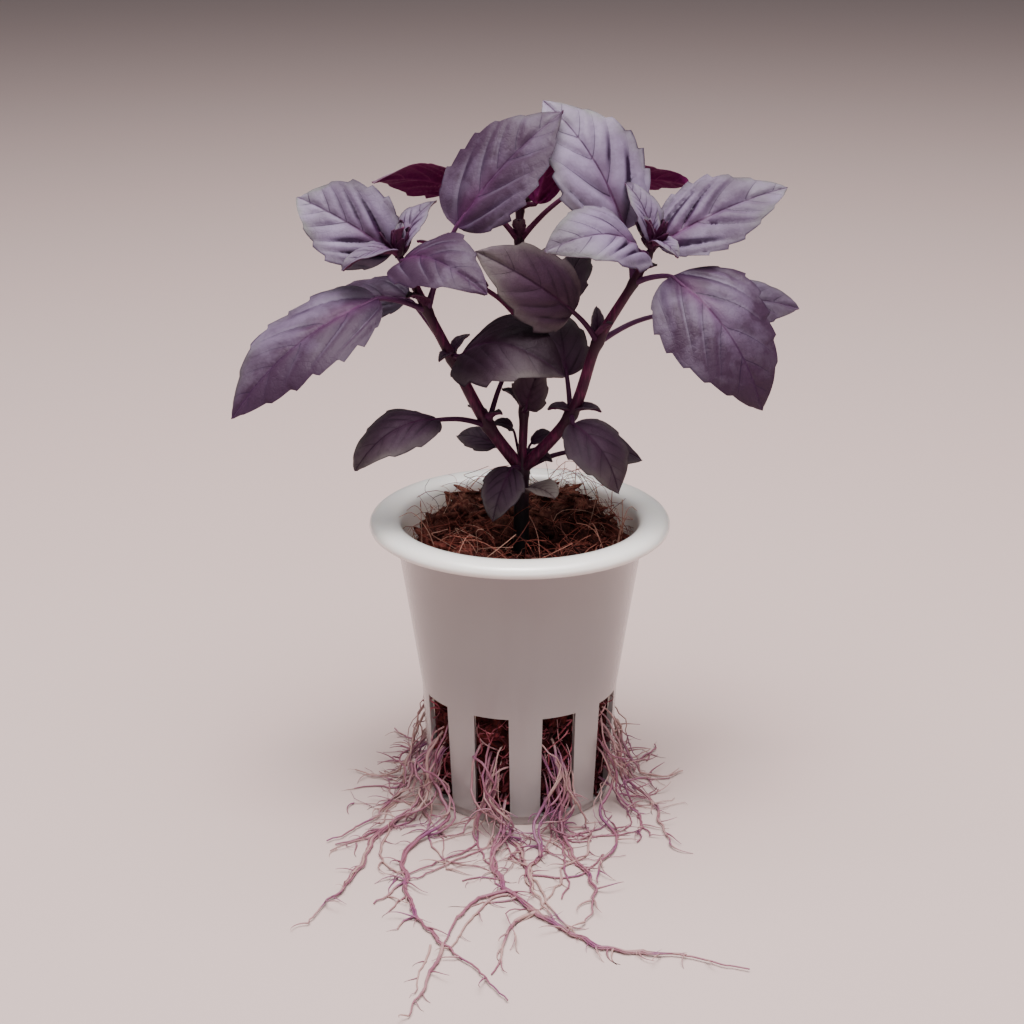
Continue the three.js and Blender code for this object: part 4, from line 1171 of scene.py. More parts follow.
@dataclass
class NetCup:
    """The slotted cup, turned about +Z, in millimetres."""

    height: float = 62.2
    rim_radius: float = 31
    rim_thickness: float = 2.8
    mouth_radius: float = 24.4
    shoulder_radius: float = 25.7
    slot_top_radius: float = 20.6
    slot_top_height: float = 24.8
    rib_foot_radius: float = 19.5
    rib_foot_height: float = 2.2
    foot_radius: float = 18.9
    floor_thickness: float = 1.6
    wall: float = 1.2
    slots: int = 9
    slot_width: float = 7.4
    first_slot: float = -16.5
    sides: int = 144

    def radius(self, z: float) -> float:
        """Gives the wall's outside radius at a height.

        Args:
            z: the height.

        Returns:
            The radius.
        """
        shoulder = self.height - self.rim_thickness
        if z < self.slot_top_height:
            share = (z - self.rib_foot_height) / (self.slot_top_height - self.rib_foot_height)
            return self.rib_foot_radius + share * (self.slot_top_radius - self.rib_foot_radius)
        share = (z - self.slot_top_height) / (shoulder - self.slot_top_height)
        return self.slot_top_radius + share * (self.shoulder_radius - self.slot_top_radius)

    def bearing(self, slot: int) -> float:
        """Gives the bearing of a slot in degrees."""
        return self.first_slot + slot * 360 / self.slots

    def profile(self) -> list[tuple[float, float]]:
        """Gives the outline of the wall, floor and rolled rim as radius and height.

        Returns:
            Its points, from the middle of the base round to the middle of the floor.
        """
        top, shoulder = self.height, self.height - self.rim_thickness
        rim, mouth = self.rim_radius, self.mouth_radius
        foot = self.foot_radius
        rolled = [
            (self.shoulder_radius, shoulder - 0.6), (self.shoulder_radius + 0.25, shoulder - 0.1),
            (self.shoulder_radius + 0.9, shoulder + 0.1), (rim - 1.9, shoulder - 0.1),
            (rim - 1.2, shoulder - 0.2), (rim - 0.6, shoulder), (rim - 0.2, shoulder + 0.35),
            (rim, shoulder + 0.9), (rim - 0.05, shoulder + 1.3), (rim - 0.4, shoulder + 1.95),
            (rim - 1.0, top - 0.4), (rim - 1.7, top - 0.15), (rim - 2.6, top - 0.02), (rim - 3.4, top),
            (mouth + 2.2, top - 0.08), (mouth + 1.3, top - 0.35), (mouth + 0.7, top - 0.75),
            (mouth + 0.3, top - 1.3), (mouth, top - 2.2),
        ]
        inside = self.radius(self.floor_thickness) - self.wall
        return [
            (0, 0), (foot - 0.4, 0), (foot - 0.1, 0.1), (foot, 0.4), (foot, self.rib_foot_height - 0.35),
            (self.rib_foot_radius, self.rib_foot_height - 0.05), (self.radius(12), 12),
            (self.slot_top_radius, self.slot_top_height), (self.radius(42), 42), *rolled,
            (self.radius(42) - self.wall, 42), (self.slot_top_radius - self.wall, self.slot_top_height),
            (self.radius(12) - self.wall, 12), (inside, self.floor_thickness), (0, self.floor_thickness),
        ]

    def build(self, material: Material) -> Piece:
        """Makes the cup.

        Args:
            material: its finish.

        Returns:
            The object.
        """
        outline = self.profile()
        angles = np.linspace(0, math.tau, self.sides, endpoint=False)
        rings = [
            np.stack([r * np.cos(angles), r * np.sin(angles), np.full(self.sides, z)], axis=1)
            for r, z in outline
        ]
        shell = Shell()
        points = np.vstack(rings)
        shell.add(points, ring_faces(len(outline), self.sides), np.zeros((len(points), MARKS)))
        cup = shell.piece("net_cup_moulding", material)
        slot_tree().apply(cup, {
            "Slots": self.slots,
            "Slot Width": self.slot_width * MM,
            "Cutter Depth": 8 * MM,
            "Slot Height": (self.slot_top_height - self.rib_foot_height) * MM,
            "Slot Foot": self.rib_foot_height * MM,
            "Wall Radius": self.rib_foot_radius * MM,
            "First Slot": math.radians(self.first_slot - 90),
            "Material": material,
        })
        cup.data.set_sharp_from_angle(angle=math.radians(35))
        bevel = cup.modifiers.new("soft_edges", "BEVEL")
        bevel.width = 0.18 * MM
        bevel.segments = 2
        bevel.limit_method = "ANGLE"
        bevel.angle_limit = math.radians(50)
        return cup


@dataclass
class CoirPlug:
    """The plug of coir that fills the cup, with its shreds and loose fibres, in millimetres."""

    cup: NetCup
    surface_height: float = 55.6
    edge_rise: float = 2.6
    edge_sink: float = 7.5
    clearance: float = 0.06
    lump: float = 0.7
    crumb_height: float = 1.5
    # Height and place of each mound.
    mounds: tuple[Point, ...] = ((5.4, 11, 15), (4.4, -12, 14))
    mound_spread: float = 110
    dip: float = 2.6
    slot_hollow: float = 2.2
    side_top: float = 54.6
    loose_from: float = 53
    sides: int = 168
    rings: int = 52
    seed: int = 11

    def surface(self, x: float, y: float) -> float:
        """Gives the height of the coir at a place.

        Args:
            x: the place to the right.
            y: the place to the back.

        Returns:
            The height.
        """
        radius = math.hypot(x, y)
        level = self.surface_height + self.edge_rise * (radius / self.cup.mouth_radius) ** 2
        for height, right, back in self.mounds:
            level += height * math.exp(-((x - right) ** 2 + (y - back) ** 2) / self.mound_spread)
        lumps = self.lump * math.sin(x * 0.9 + y * 0.5) * math.cos(y * 0.8 - x * 0.3)
        start = 20 + 0.085 * x
        sunk = self.edge_sink * min(1.0, max(0.0, (radius - start) / 3.4)) ** 2 * (x / max(radius, 1)) ** 4
        return level + lumps - sunk

    def crumb(self, x: float, y: float, z: float) -> float:
        """Gives the crumbly relief at a place, from about -1 to 1.

        Args:
            x: the place to the right.
            y: the place to the back.
            z: the height.

        Returns:
            The relief.
        """
        coarse = noise.noise(Vector((x * 0.28, y * 0.28, z * 0.28)))
        middle = noise.noise(Vector((x * 0.75 + 9, y * 0.75, z * 0.75)))
        fine = noise.noise(Vector((x * 1.9, y * 1.9 + 5, z * 1.9)))
        return 0.9 * coarse + 0.6 * middle + 0.35 * fine

    def slot_offset(self, x: Any, y: Any) -> Any:
        """Gives how far a place is from the middle of the nearest slot, in degrees of bearing."""
        pitch = 360 / self.cup.slots
        return (np.degrees(np.arctan2(x, -y)) - self.cup.first_slot + pitch / 2) % pitch - pitch / 2

    def in_slot(self, x: float, y: float, z: float, inset: float = 0.5) -> bool:
        """Tells whether a place on the side shows through a slot.

        Args:
            x: the place to the right.
            y: the place to the back.
            z: the height.
            inset: how far inside the slot's edges it has to be.

        Returns:
            True in a slot.
        """
        near = abs(math.radians(self.slot_offset(x, y))) * math.hypot(x, y)
        inside = self.cup.rib_foot_height + inset < z < self.cup.slot_top_height - inset
        return near < self.cup.slot_width / 2 - inset and inside

    def plug(self, material: Material) -> Piece:
        """Makes the body of the plug.

        Args:
            material: its finish.

        Returns:
            The object.
        """
        foot = self.cup.floor_thickness + self.clearance
        limit = self.cup.radius(self.surface_height) - self.cup.wall - self.clearance
        angles = np.linspace(0, math.tau, self.sides, endpoint=False)
        brink = [self.surface(limit * math.cos(a), limit * math.sin(a)) - 1.2 for a in angles]
        profile = [(0.0, foot, False)]
        for z in np.linspace(foot, self.side_top, 60):
            profile.append((self.cup.radius(z) - self.cup.wall - self.clearance, float(z), False))
        for ring in range(1, self.rings + 1):
            profile.append((limit * (1 - ring / self.rings) ** 0.9, 0.0, True))
        points, relief = [], []
        for radius, level, top in profile:
            for a, edge in zip(angles, brink):
                height = min(level, edge - (self.side_top - level) * 0.01)
                radius = min(radius, self.cup.radius(height) - self.cup.wall - self.clearance)
                x, y = radius * math.cos(a), radius * math.sin(a)
                lift = self.crumb(x, y, height)
                if top:
                    hollow = self.dip * math.exp(-(math.hypot(x - 1, y + 4) ** 2) / 40)
                    blend = min(1.0, (limit - radius) / 1.5)
                    points.append((x, y, self.surface(x, y) - hollow + self.crumb_height * lift * blend))
                else:
                    deep = self.slot_hollow * min(0.0, lift - 0.25) if self.in_slot(x, y, height) else 0.0
                    share = 1 + deep / max(radius, 1)
                    points.append((x * share, y * share, height))
                relief.append(lift)
        marks = np.zeros((len(points), MARKS))
        marks[:, RIM] = relief
        shell = Shell()
        shell.add(np.array(points), ring_faces(len(profile), self.sides), marks)
        return shell.piece("coir_plug", material, 180)

    def scatter(self, plug: Piece, name: str, tree: Tree, cover: Callable[[Point], float],
                values: dict[str, Any]) -> Piece:
        """Scatters pieces over the plug and keeps them inside the cup and its slots.

        Args:
            plug: the body of the plug.
            name: the name of the new piece.
            tree: the tree that scatters.
            cover: gives a place's share of the density from its point in millimetres.
            values: the inputs of the tree.

        Returns:
            The object.
        """
        host = plug.copy()
        host.data = plug.data.copy()
        host.name = name
        bpy.context.scene.collection.objects.link(host)
        carry(host.data, "cover", [cover(v.co / MM) for v in host.data.vertices])
        tree.apply(host, values)
        flat = np.zeros(len(host.data.vertices) * 3, np.float32)
        host.data.vertices.foreach_get("co", flat)
        host.data.vertices.foreach_set("co", (self.press(flat.reshape(-1, 3) / MM) * MM).ravel())
        host.data.update()
        return host

    def press(self, points: Array) -> Array:
        """Moves points that would go through the cup back inside its wall or its slots.

        Args:
            points: one row for each point, in millimetres.

        Returns:
            The moved points.
        """
        x, y, z = points.T
        radius = np.hypot(x, y)
        wall = np.array([self.cup.radius(h) for h in np.clip(z, 0, self.cup.height)])
        inner = wall - self.cup.wall - 0.12
        top = self.cup.height - self.cup.rim_thickness
        inner = np.where(z > top, np.minimum(inner, self.cup.mouth_radius - 0.15), inner)
        over = np.clip(z - self.cup.height, 0, 9)
        inner = np.where(z > self.cup.height, self.cup.mouth_radius + over * 0.8, inner)
        half = np.degrees((self.cup.slot_width / 2 - 0.25) / np.maximum(radius, 1))
        bottom, ceiling = self.cup.rib_foot_height + 0.1, self.cup.slot_top_height - 0.15
        clear = (np.abs(self.slot_offset(x, y)) < half) & (z > bottom) & (z < ceiling)
        pressed = np.minimum(radius, np.where(clear, wall + 0.25, inner))
        share = pressed / np.maximum(radius, 1)
        height = np.maximum(z, self.cup.floor_thickness + 0.05)
        return np.stack([x * share, y * share, height], axis=1)

    def top_cover(self, point: Point) -> float:
        """Gives how thickly loose bits lie at a place on top, more of them near the wall.

        Args:
            point: the place.

        Returns:
            The share of the full density.
        """
        x, y, z = point
        radius = math.hypot(x, y)
        if z < self.loose_from or radius > self.cup.mouth_radius - 1.9 + 0.04 * x:
            return 0.0
        return min(1.0, 0.2 + (radius / 18) ** 2)

    def slot_cover(self, point: Point) -> float:
        """Gives 1 where a place shows through a slot."""
        x, y, z = point
        return 1.0 if math.hypot(x, y) > 12 and self.in_slot(x, y, z, 0.9) else 0.0

    def build(self, crumbs: Material, soaked: Material, fibres: Material, red: Material) -> list[Piece]:
        """Makes the plug, its shreds and its fibres.

        Args:
            crumbs: the finish of the coir.
            soaked: the finish of the damp coir in the slots.
            fibres: the finish of the fibres on top.
            red: the finish of the damp fibres in the slots.

        Returns:
            The plug and the pieces that lie on it.
        """
        plug = self.plug(crumbs)
        clods, strands = clod_tree(), fibre_tree()
        pieces = [plug]
        for name, cover, density, size, finish in (
            ("coir_shreds_top", self.top_cover, 250_000.0, (0.7, 1.9), crumbs),
            ("coir_shreds_slots", self.slot_cover, 160_000.0, (0.6, 1.4), soaked),
        ):
            pieces.append(self.scatter(plug, name, clods, cover, {
                "Density": density, "Seed": self.seed, "Smallest": size[0] * MM, "Largest": size[1] * MM,
                "Roughness": 0.65 * MM, "Material": finish,
            }))
        for name, cover, density, length, girth, lean, finish in (
            ("coir_fibres", self.top_cover, 380_000.0, (3.5, 13), 0.0065, 0.3, fibres),
            ("slot_fibres", self.slot_cover, 260_000.0, (3.0, 9.5), 0.023, 0.5, red),
        ):
            pieces.append(self.scatter(plug, name, strands, cover, {
                "Density": density, "Seed": self.seed + 1, "Shortest": length[0] * MM,
                "Longest": length[1] * MM, "Girth Share": girth, "Lean": lean, "Material": finish,
            }))
        pieces.append(self.strays(fibres))
        return pieces

    def strays(self, material: Material) -> Piece:
        """Makes the long fibres that stand up past the rim.

        Args:
            material: their finish.

        Returns:
            The object.
        """
        shell = Shell()
        for bearing, radius, turn, reach, lift in STRAY_FIBRES:
            foot = around(bearing, radius, 0)
            foot[2] = self.surface(foot[0], foot[1]) - 1.2
            way = heading(turn, 0)
            up = np.array([0, 0, 1.0])
            path = smooth_path([
                foot, foot + way * reach * 0.25 + up * lift * 0.6,
                foot + way * reach * 0.65 + up * lift, foot + way * reach + up * lift * 0.85,
            ], 14)
            points, faces = tube(path, np.linspace(0.13, 0.06, len(path)), 5)
            shell.add(points, faces, np.zeros((len(points), MARKS)))
        made = shell.piece("stray_fibres", material)
        carry(made.data, "tint", [0.9] * len(made.data.vertices))
        return made


@dataclass
class Leaf:
    """One leaf: its petiole and its toothed, veined blade, in millimetres."""

    plan: LeafPlan
    seed: int
    mid_thickness: float = 0.32
    edge_thickness: float = 0.1
    petiole_radius: float = 0.62
    petiole_end_radius: float = 0.42
    base_power: float = 0.52
    tip_power: float = 0.88
    tooth_depth: float = 0.052
    tooth_peak: float = 0.86
    first_tooth: float = 0.13
    last_tooth: float = 0.96
    vein_pitch: float = 0.235
    vein_start: float = 0.03
    vein_sweep: float = 0.34
    quilt: float = 0.58
    wave: float = 0.55
    plain: bool = False

    def __post_init__(self) -> None:
        """Works out the directions of the blade and its own random sizes."""
        plan = self.plan
        self.draw = random.Random(self.seed)
        self.along = heading(plan.turn, plan.rise)
        look = np.array(plan.look, float)
        up = look - self.along * look.dot(self.along)
        self.up = up / np.linalg.norm(up)
        self.side = np.cross(self.up, self.along)
        turn, rise, reach = plan.petiole
        self.start = np.array(plan.at, float)
        self.base = self.start + heading(turn, rise) * reach
        self.phases = [self.draw.uniform(0, math.tau) for _ in range(4)]
        self.tooth_sizes = [[self.draw.uniform(0.55, 1.45) for _ in range(16)] for _ in range(2)]

    def outline(self, part: Array) -> Array:
        """Gives the half width from base to tip, as a share of the widest.

        Args:
            part: places from the base at 0 to the tip at 1.

        Returns:
            The shares.
        """
        a, b = self.base_power, self.tip_power
        widest = a / (a + b)
        return part ** a * (1 - part) ** b / (widest ** a * (1 - widest) ** b)

    def middle(self, part: Array, across: Array, margin: Any = 1.0) -> Array:
        """Gives the blade's middle surface.

        Args:
            part: places from the base at 0 to the tip at 1.
            across: places from one margin at -1 to the other at 1.
            margin: how far the margin stands out there, as a share.

        Returns:
            Points in millimetres.
        """
        plan = self.plan
        half = plan.width / 2 * self.outline(part) * margin
        span = half * np.abs(across)
        fold = math.radians(plan.fold)
        bow = plan.arch * plan.length * 4 * part * (1 - part)
        lift = span * math.sin(fold) - plan.curl * span ** 2 / (plan.width / 2)
        return (
            self.base
            + self.along * (plan.length * part)[..., None]
            + self.side * (half * across * math.cos(fold))[..., None]
            + self.up * (bow + lift)[..., None]
        )

    def normals(self, part: Array, across: Array) -> Array:
        """Gives the way that the upper face looks at each place.

        Args:
            part: places along the blade.
            across: places across it.

        Returns:
            Unit vectors.
        """
        place = np.clip(part, 0.04, 0.96)
        forward = self.middle(place + 0.02, across) - self.middle(place - 0.02, across)
        sideways = self.middle(place, across + 0.1) - self.middle(place, across - 0.1)
        out = np.cross(forward, sideways)
        return out / np.linalg.norm(out, axis=-1)[..., None]

    def rows(self) -> list[Row]:
        """Gives each row across the blade: its place, its tooth and its place in that tooth.

        Returns:
            The rows, with tooth -1 where there is none.
        """
        found = [(p, -1, 0.0) for p in (0, 0.008, 0.02, 0.04, 0.06, 0.08, 0.1, 0.115)]
        pitch = (self.last_tooth - self.first_tooth) / self.plan.teeth
        steps = [0, 0.1, 0.2, 0.3, 0.4, 0.5, 0.6, 0.7, 0.78, self.tooth_peak, 0.89, 0.94]
        if self.plain:
            steps = [0, 0.3, 0.6, self.tooth_peak]
        for tooth in range(self.plan.teeth):
            for step in steps:
                found.append((self.first_tooth + (tooth + step) * pitch, tooth, step))
        return [*found, (0.968, -1, 0.0), (0.977, -1, 0.0), (0.988, -1, 0.0), (1.0, -1, 0.0)]

    def order(self, part: Array, across: Array, span: Array) -> Array:
        """Gives the vein coordinate, which is a whole number along each side vein.

        Args:
            part: places along the blade.
            across: places across it.
            span: how far they are from the midrib.

        Returns:
            The coordinate of each place.
        """
        plan = self.plan
        reach = 0.95 * span / plan.length + self.vein_sweep * (span / (plan.width / 2)) ** 2.2
        place = part - reach - self.vein_start
        right = across > 0
        place = place + np.where(right, 0.045, 0.0)
        drift = np.sin(6.1 * place + np.where(right, self.phases[0], self.phases[1]))
        return place / self.vein_pitch * (1 + 0.12 * place) + 0.24 * drift

    def relief(self, part: Array, across: Array, span: Array) -> Array:
        """Gives how far the skin stands up between the veins, in millimetres.

        Args:
            part: places along the blade.
            across: places across it.
            span: how far they are from the midrib.

        Returns:
            The height of each place.
        """
        size = min(1.0, self.plan.length / 30)
        order = self.order(part, across, span)
        between = order - np.floor(order)
        edge = np.abs(across)
        heart = np.clip(edge / 0.16, 0, 1) * np.clip(self.outline(part) * 1.5, 0, 1)
        fading = (1 - 0.88 * edge ** 2) * (0.4 + 1.5 * (1 - part) ** 2)
        lean = 1 + 0.45 * np.sin(2.4 * np.floor(order) + self.phases[2])
        puff = 1 - bell(np.minimum(between, 1 - between), 0.2)
        pillow = self.quilt * size * (puff * (0.72 + 0.56 * between) - 0.6) * heart * fading * lean
        groove = -0.26 * bell(span, 0.5)
        swing = np.where(across < 0, self.phases[0], self.phases[1])
        wave = self.wave * size * edge ** 2 * np.sin(math.tau * 1.7 * part + swing)
        loose = 0.35 * size * np.sin(4.3 * part + 1.9 * across + self.phases[2]) * edge
        return pillow + groove + wave + loose

    def crumple(self, points: Array) -> Array:
        """Gives the fine unevenness of the skin at each point, in millimetres.

        Args:
            points: the points.

        Returns:
            The height of each point.
        """
        flat = points.reshape(-1, 3)
        size = 0.0 if self.plain else 0.075
        heights = [
            noise.noise(Vector(p) * 0.55) + 0.45 * noise.noise(Vector(p) * 1.3) for p in flat
        ]
        return size * np.array(heights).reshape(points.shape[:-1])

    def margins(self, rows: list[Row], across: Array) -> Array:
        """Gives how far the teeth stand out at each place, as a share of the half width.

        Args:
            rows: the rows of the blade.
            across: places across them.

        Returns:
            The shares.
        """
        margin = np.ones_like(across)
        for i, (_, tooth, step) in enumerate(rows):
            if tooth < 0:
                continue
            if step <= self.tooth_peak:
                share = (step / self.tooth_peak) ** 1.1
            else:
                share = ((1 - step) / (1 - self.tooth_peak)) ** 1.2
            for side, sizes in enumerate(self.tooth_sizes):
                mask = (across[i] > 0) == bool(side)
                grown = self.tooth_depth * sizes[tooth] * (2 * share - 1) * np.abs(across[i]) ** 2
                margin[i] = np.where(mask, 1 + grown, margin[i])
        return margin

    def blade(self, shell: Shell) -> None:
        """Adds the blade to a shell.

        Args:
            shell: what it is added to.
        """
        plan = self.plan
        rows = self.rows()
        half_columns = 4 if self.plain else int(np.clip(round(plan.width * 1.1), 8, 21))
        t = np.linspace(0, 1, half_columns + 1)
        t = np.concatenate([-(t[:0:-1]), t])
        part = np.array([r[0] for r in rows])[:, None] + 0 * t[None, :]
        across = 0 * part + t[None, :]
        margin = self.margins(rows, across)
        pointed = (part <= 0) | (part >= 1)
        span = plan.width / 2 * self.outline(part) * margin * np.abs(across)
        middle = self.middle(part, across, margin)
        normal = self.normals(part, np.where(pointed, 0, across))
        order = self.order(part, across, span)
        lift = np.where(pointed, 0, self.relief(part, across, span) + self.crumple(middle))
        thick = self.edge_thickness + (self.mid_thickness - self.edge_thickness) * (1 - np.abs(across) ** 3)
        thick = np.where(pointed, self.edge_thickness, thick)
        rib = np.where(pointed, 0, 0.5 * (1 - part) ** 0.8 * bell(span, 0.6))
        near = np.abs(order - np.round(order))
        ridge = np.where(pointed, 0, 0.12 * bell(near, 0.07) * (1 - np.abs(across) ** 2))
        upper = middle + normal * (lift + thick / 2)[..., None]
        lower = middle + normal * (lift - thick / 2 - rib - ridge)[..., None]
        shade = plan.shade + plan.shade_across * across + plan.shade_tip * part ** 3
        pitch = np.full_like(part, self.vein_pitch * plan.length)
        marks = np.stack([order, span, part, pitch, np.abs(across), 0 * part, shade], axis=-1)
        marks = marks.reshape(-1, MARKS)
        low = marks.copy()
        low[:, SIDE] = 1
        uv = np.stack([span * np.sign(across), part * plan.length], axis=-1).reshape(-1, 2) / 10
        shell.add(np.vstack([upper.reshape(-1, 3), lower.reshape(-1, 3)]), self.skin(*part.shape),
                  np.vstack([marks, low]), np.vstack([uv, uv + 0.37]))

    def skin(self, rows: int, columns: int) -> list[Face]:
        """Gives the faces of a blade whose upper grid of points is followed by the lower one.

        Args:
            rows: how many rows it has.
            columns: how many points a row has.

        Returns:
            The faces.
        """
        faces: list[Face] = []
        low = rows * columns
        for i in range(rows - 1):
            for j in range(columns - 1):
                a, b = i * columns + j, (i + 1) * columns + j
                faces.append((a, b, b + 1, a + 1))
                faces.append((low + a, low + a + 1, low + b + 1, low + b))
            left, right = i * columns, (i + 1) * columns - 1
            faces.append((left, low + left, low + left + columns, left + columns))
            faces.append((right + columns, low + right + columns, low + right, right))
        return faces

    def petiole(self, shell: Shell) -> None:
        """Adds the petiole to a shell.

        Args:
            shell: what it is added to.
        """
        reach = self.plan.petiole[2]
        bend = self.start + (self.base - self.start) * 0.55 + np.array([0, 0, reach * 0.05])
        ends = []
        for place in (0.05, 0.12):
            spot = np.array([place])
            under = self.middle(spot, np.zeros(1))[0] - self.normals(spot, np.zeros(1))[0] * 0.3
            ends.append(under)
        path = smooth_path([self.start, bend, self.base - self.up * 0.12, *ends], max(10, int(reach * 1.6)))
        share = np.linspace(0, 1, len(path))
        radii = self.petiole_radius + (self.petiole_end_radius - self.petiole_radius) * share
        radii = radii * (1 + 0.35 * bell(share, 0.12))
        radii[-1] *= 0.4
        points, faces = tube(path, radii, 12)
        marks = np.zeros((len(points), MARKS))
        marks[:, ORDER] = 0.5
        marks[:, PITCH] = 4
        marks[:, SHADE] = self.plan.shade
        shell.add(points, faces, marks)

    def build(self, material: Material) -> Piece:
        """Makes the leaf.

        Args:
            material: its finish.

        Returns:
            The object.
        """
        shell = Shell()
        self.petiole(shell)
        self.blade(shell)
        return shell.piece(f"{self.plan.name}_blade", material)


@dataclass
class Shoot:
    """A stem with its nodes, axil leaves and growing tip, in millimetres."""

    name: str
    node: str
    path: list[Point]
    joints: list[Point]
    leaflets: list[tuple[Point, float, float, float, float]]
    tip: Point
    tip_turn: float
    base_radius: float
    tip_radius: float = 0.75
    sides: int = 20
    seed: int = 1
    buds: int = 18
    slimming: float = 0.0
    slim_from: float = 70.5

    def stem(self, material: Material) -> Piece:
        """Makes the stem.

        Args:
            material: its finish.

        Returns:
            The object.
        """
        rough = smooth_path(self.path, 60)
        path = smooth_path(self.path, int(path_length(rough) / 0.7))
        share = np.linspace(0, 1, len(path))
        radii = self.base_radius + (self.tip_radius - self.base_radius) * share ** 1.3
        radii = radii * (1 - self.slimming * np.clip((path[:, 2] - self.slim_from) / 4, 0, 1) * (1 - share))
        for joint in self.joints:
            away = np.linalg.norm(path - np.array(joint), axis=1)
            radii = radii * (1 + 0.28 * bell(away, 1.3))
        radii[-3:] *= (0.85, 0.65, 0.4)
        shell = Shell()
        points, faces = tube(path, radii, self.sides, 0.055)
        marks = np.zeros((len(points), MARKS))
        for joint in self.joints:
            away = np.linalg.norm(points - np.array(joint), axis=1)
            marks[:, RIM] = np.maximum(marks[:, RIM], bell(away, 2.6))
        shell.add(points, faces, marks)
        return shell.piece(f"{self.name}_stem_skin", material)

    def small_leaves(self, looks: dict[Tone, Material]) -> list[Piece]:
        """Makes the axil leaves, the young leaves at the tip and its bud.

        Args:
            looks: the leaf finishes.

        Returns:
            An object for each finish in use.
        """
        shells: dict[Tone, Shell] = {}
        tip = np.array(self.tip)
        for index, (node, turn, rise, length, width) in enumerate(self.leaflets):
            at_tip = self.name != "main" and np.linalg.norm(np.array(node) - tip) < 0.01
            tone = Tone.LIT if at_tip else Tone.SHADED
            if node == SEED_LEAF_NODE:
                tone = Tone.PALE
            away = heading(turn, rise) * (1.3 if tone is Tone.PALE else 0.0)
            base = (node[0] + away[0], node[1] + away[1], node[2] + 0.9)
            plan = LeafPlan(self.name, base, (turn, rise, 0.0), turn, rise, length, width,
                            (0, -0.2, 1), 0.14, 20, 0.1, 3, tone, 0.4)
            leaf = Leaf(plan, self.seed * 50 + index, plain=length < 7)
            if tone is Tone.PALE:
                leaf = Leaf(plan, self.seed * 50 + index, tip_power=0.42, tooth_depth=0, quilt=0.15)
            leaf.blade(shells.setdefault(tone, Shell()))
        for plan in SPRIGS.get(self.name, []):
            leaf = Leaf(plan, self.seed * 70, petiole_radius=0.35, petiole_end_radius=0.25, plain=True)
            leaf.petiole(shells.setdefault(plan.tone, Shell()))
            leaf.blade(shells[plan.tone])
        draw = random.Random(self.seed)
        tone = Tone.BUD
        for bud in range(self.buds):
            turn = self.tip_turn + bud * GOLDEN_TURN
            rise = draw.uniform(30, 84)
            length = draw.uniform(2.4, 6.0)
            lower = draw.uniform(0.2, 1.6)
            base = (self.tip[0], self.tip[1], self.tip[2] + TIP_REACH - lower)
            plan = LeafPlan(self.name, base, (turn, rise, 0.0), turn, rise, length, length * 0.55,
                            (0, -0.2, 1), -0.1, 34, 0.1, 3, tone, draw.uniform(0.6, 1.0))
            Leaf(plan, self.seed * 90 + bud, quilt=0.2, plain=True).blade(shells.setdefault(tone, Shell()))
        return [
            shell.piece(f"{self.name}_{tone.value}_small_leaves", looks[tone])
            for tone, shell in shells.items()
        ]


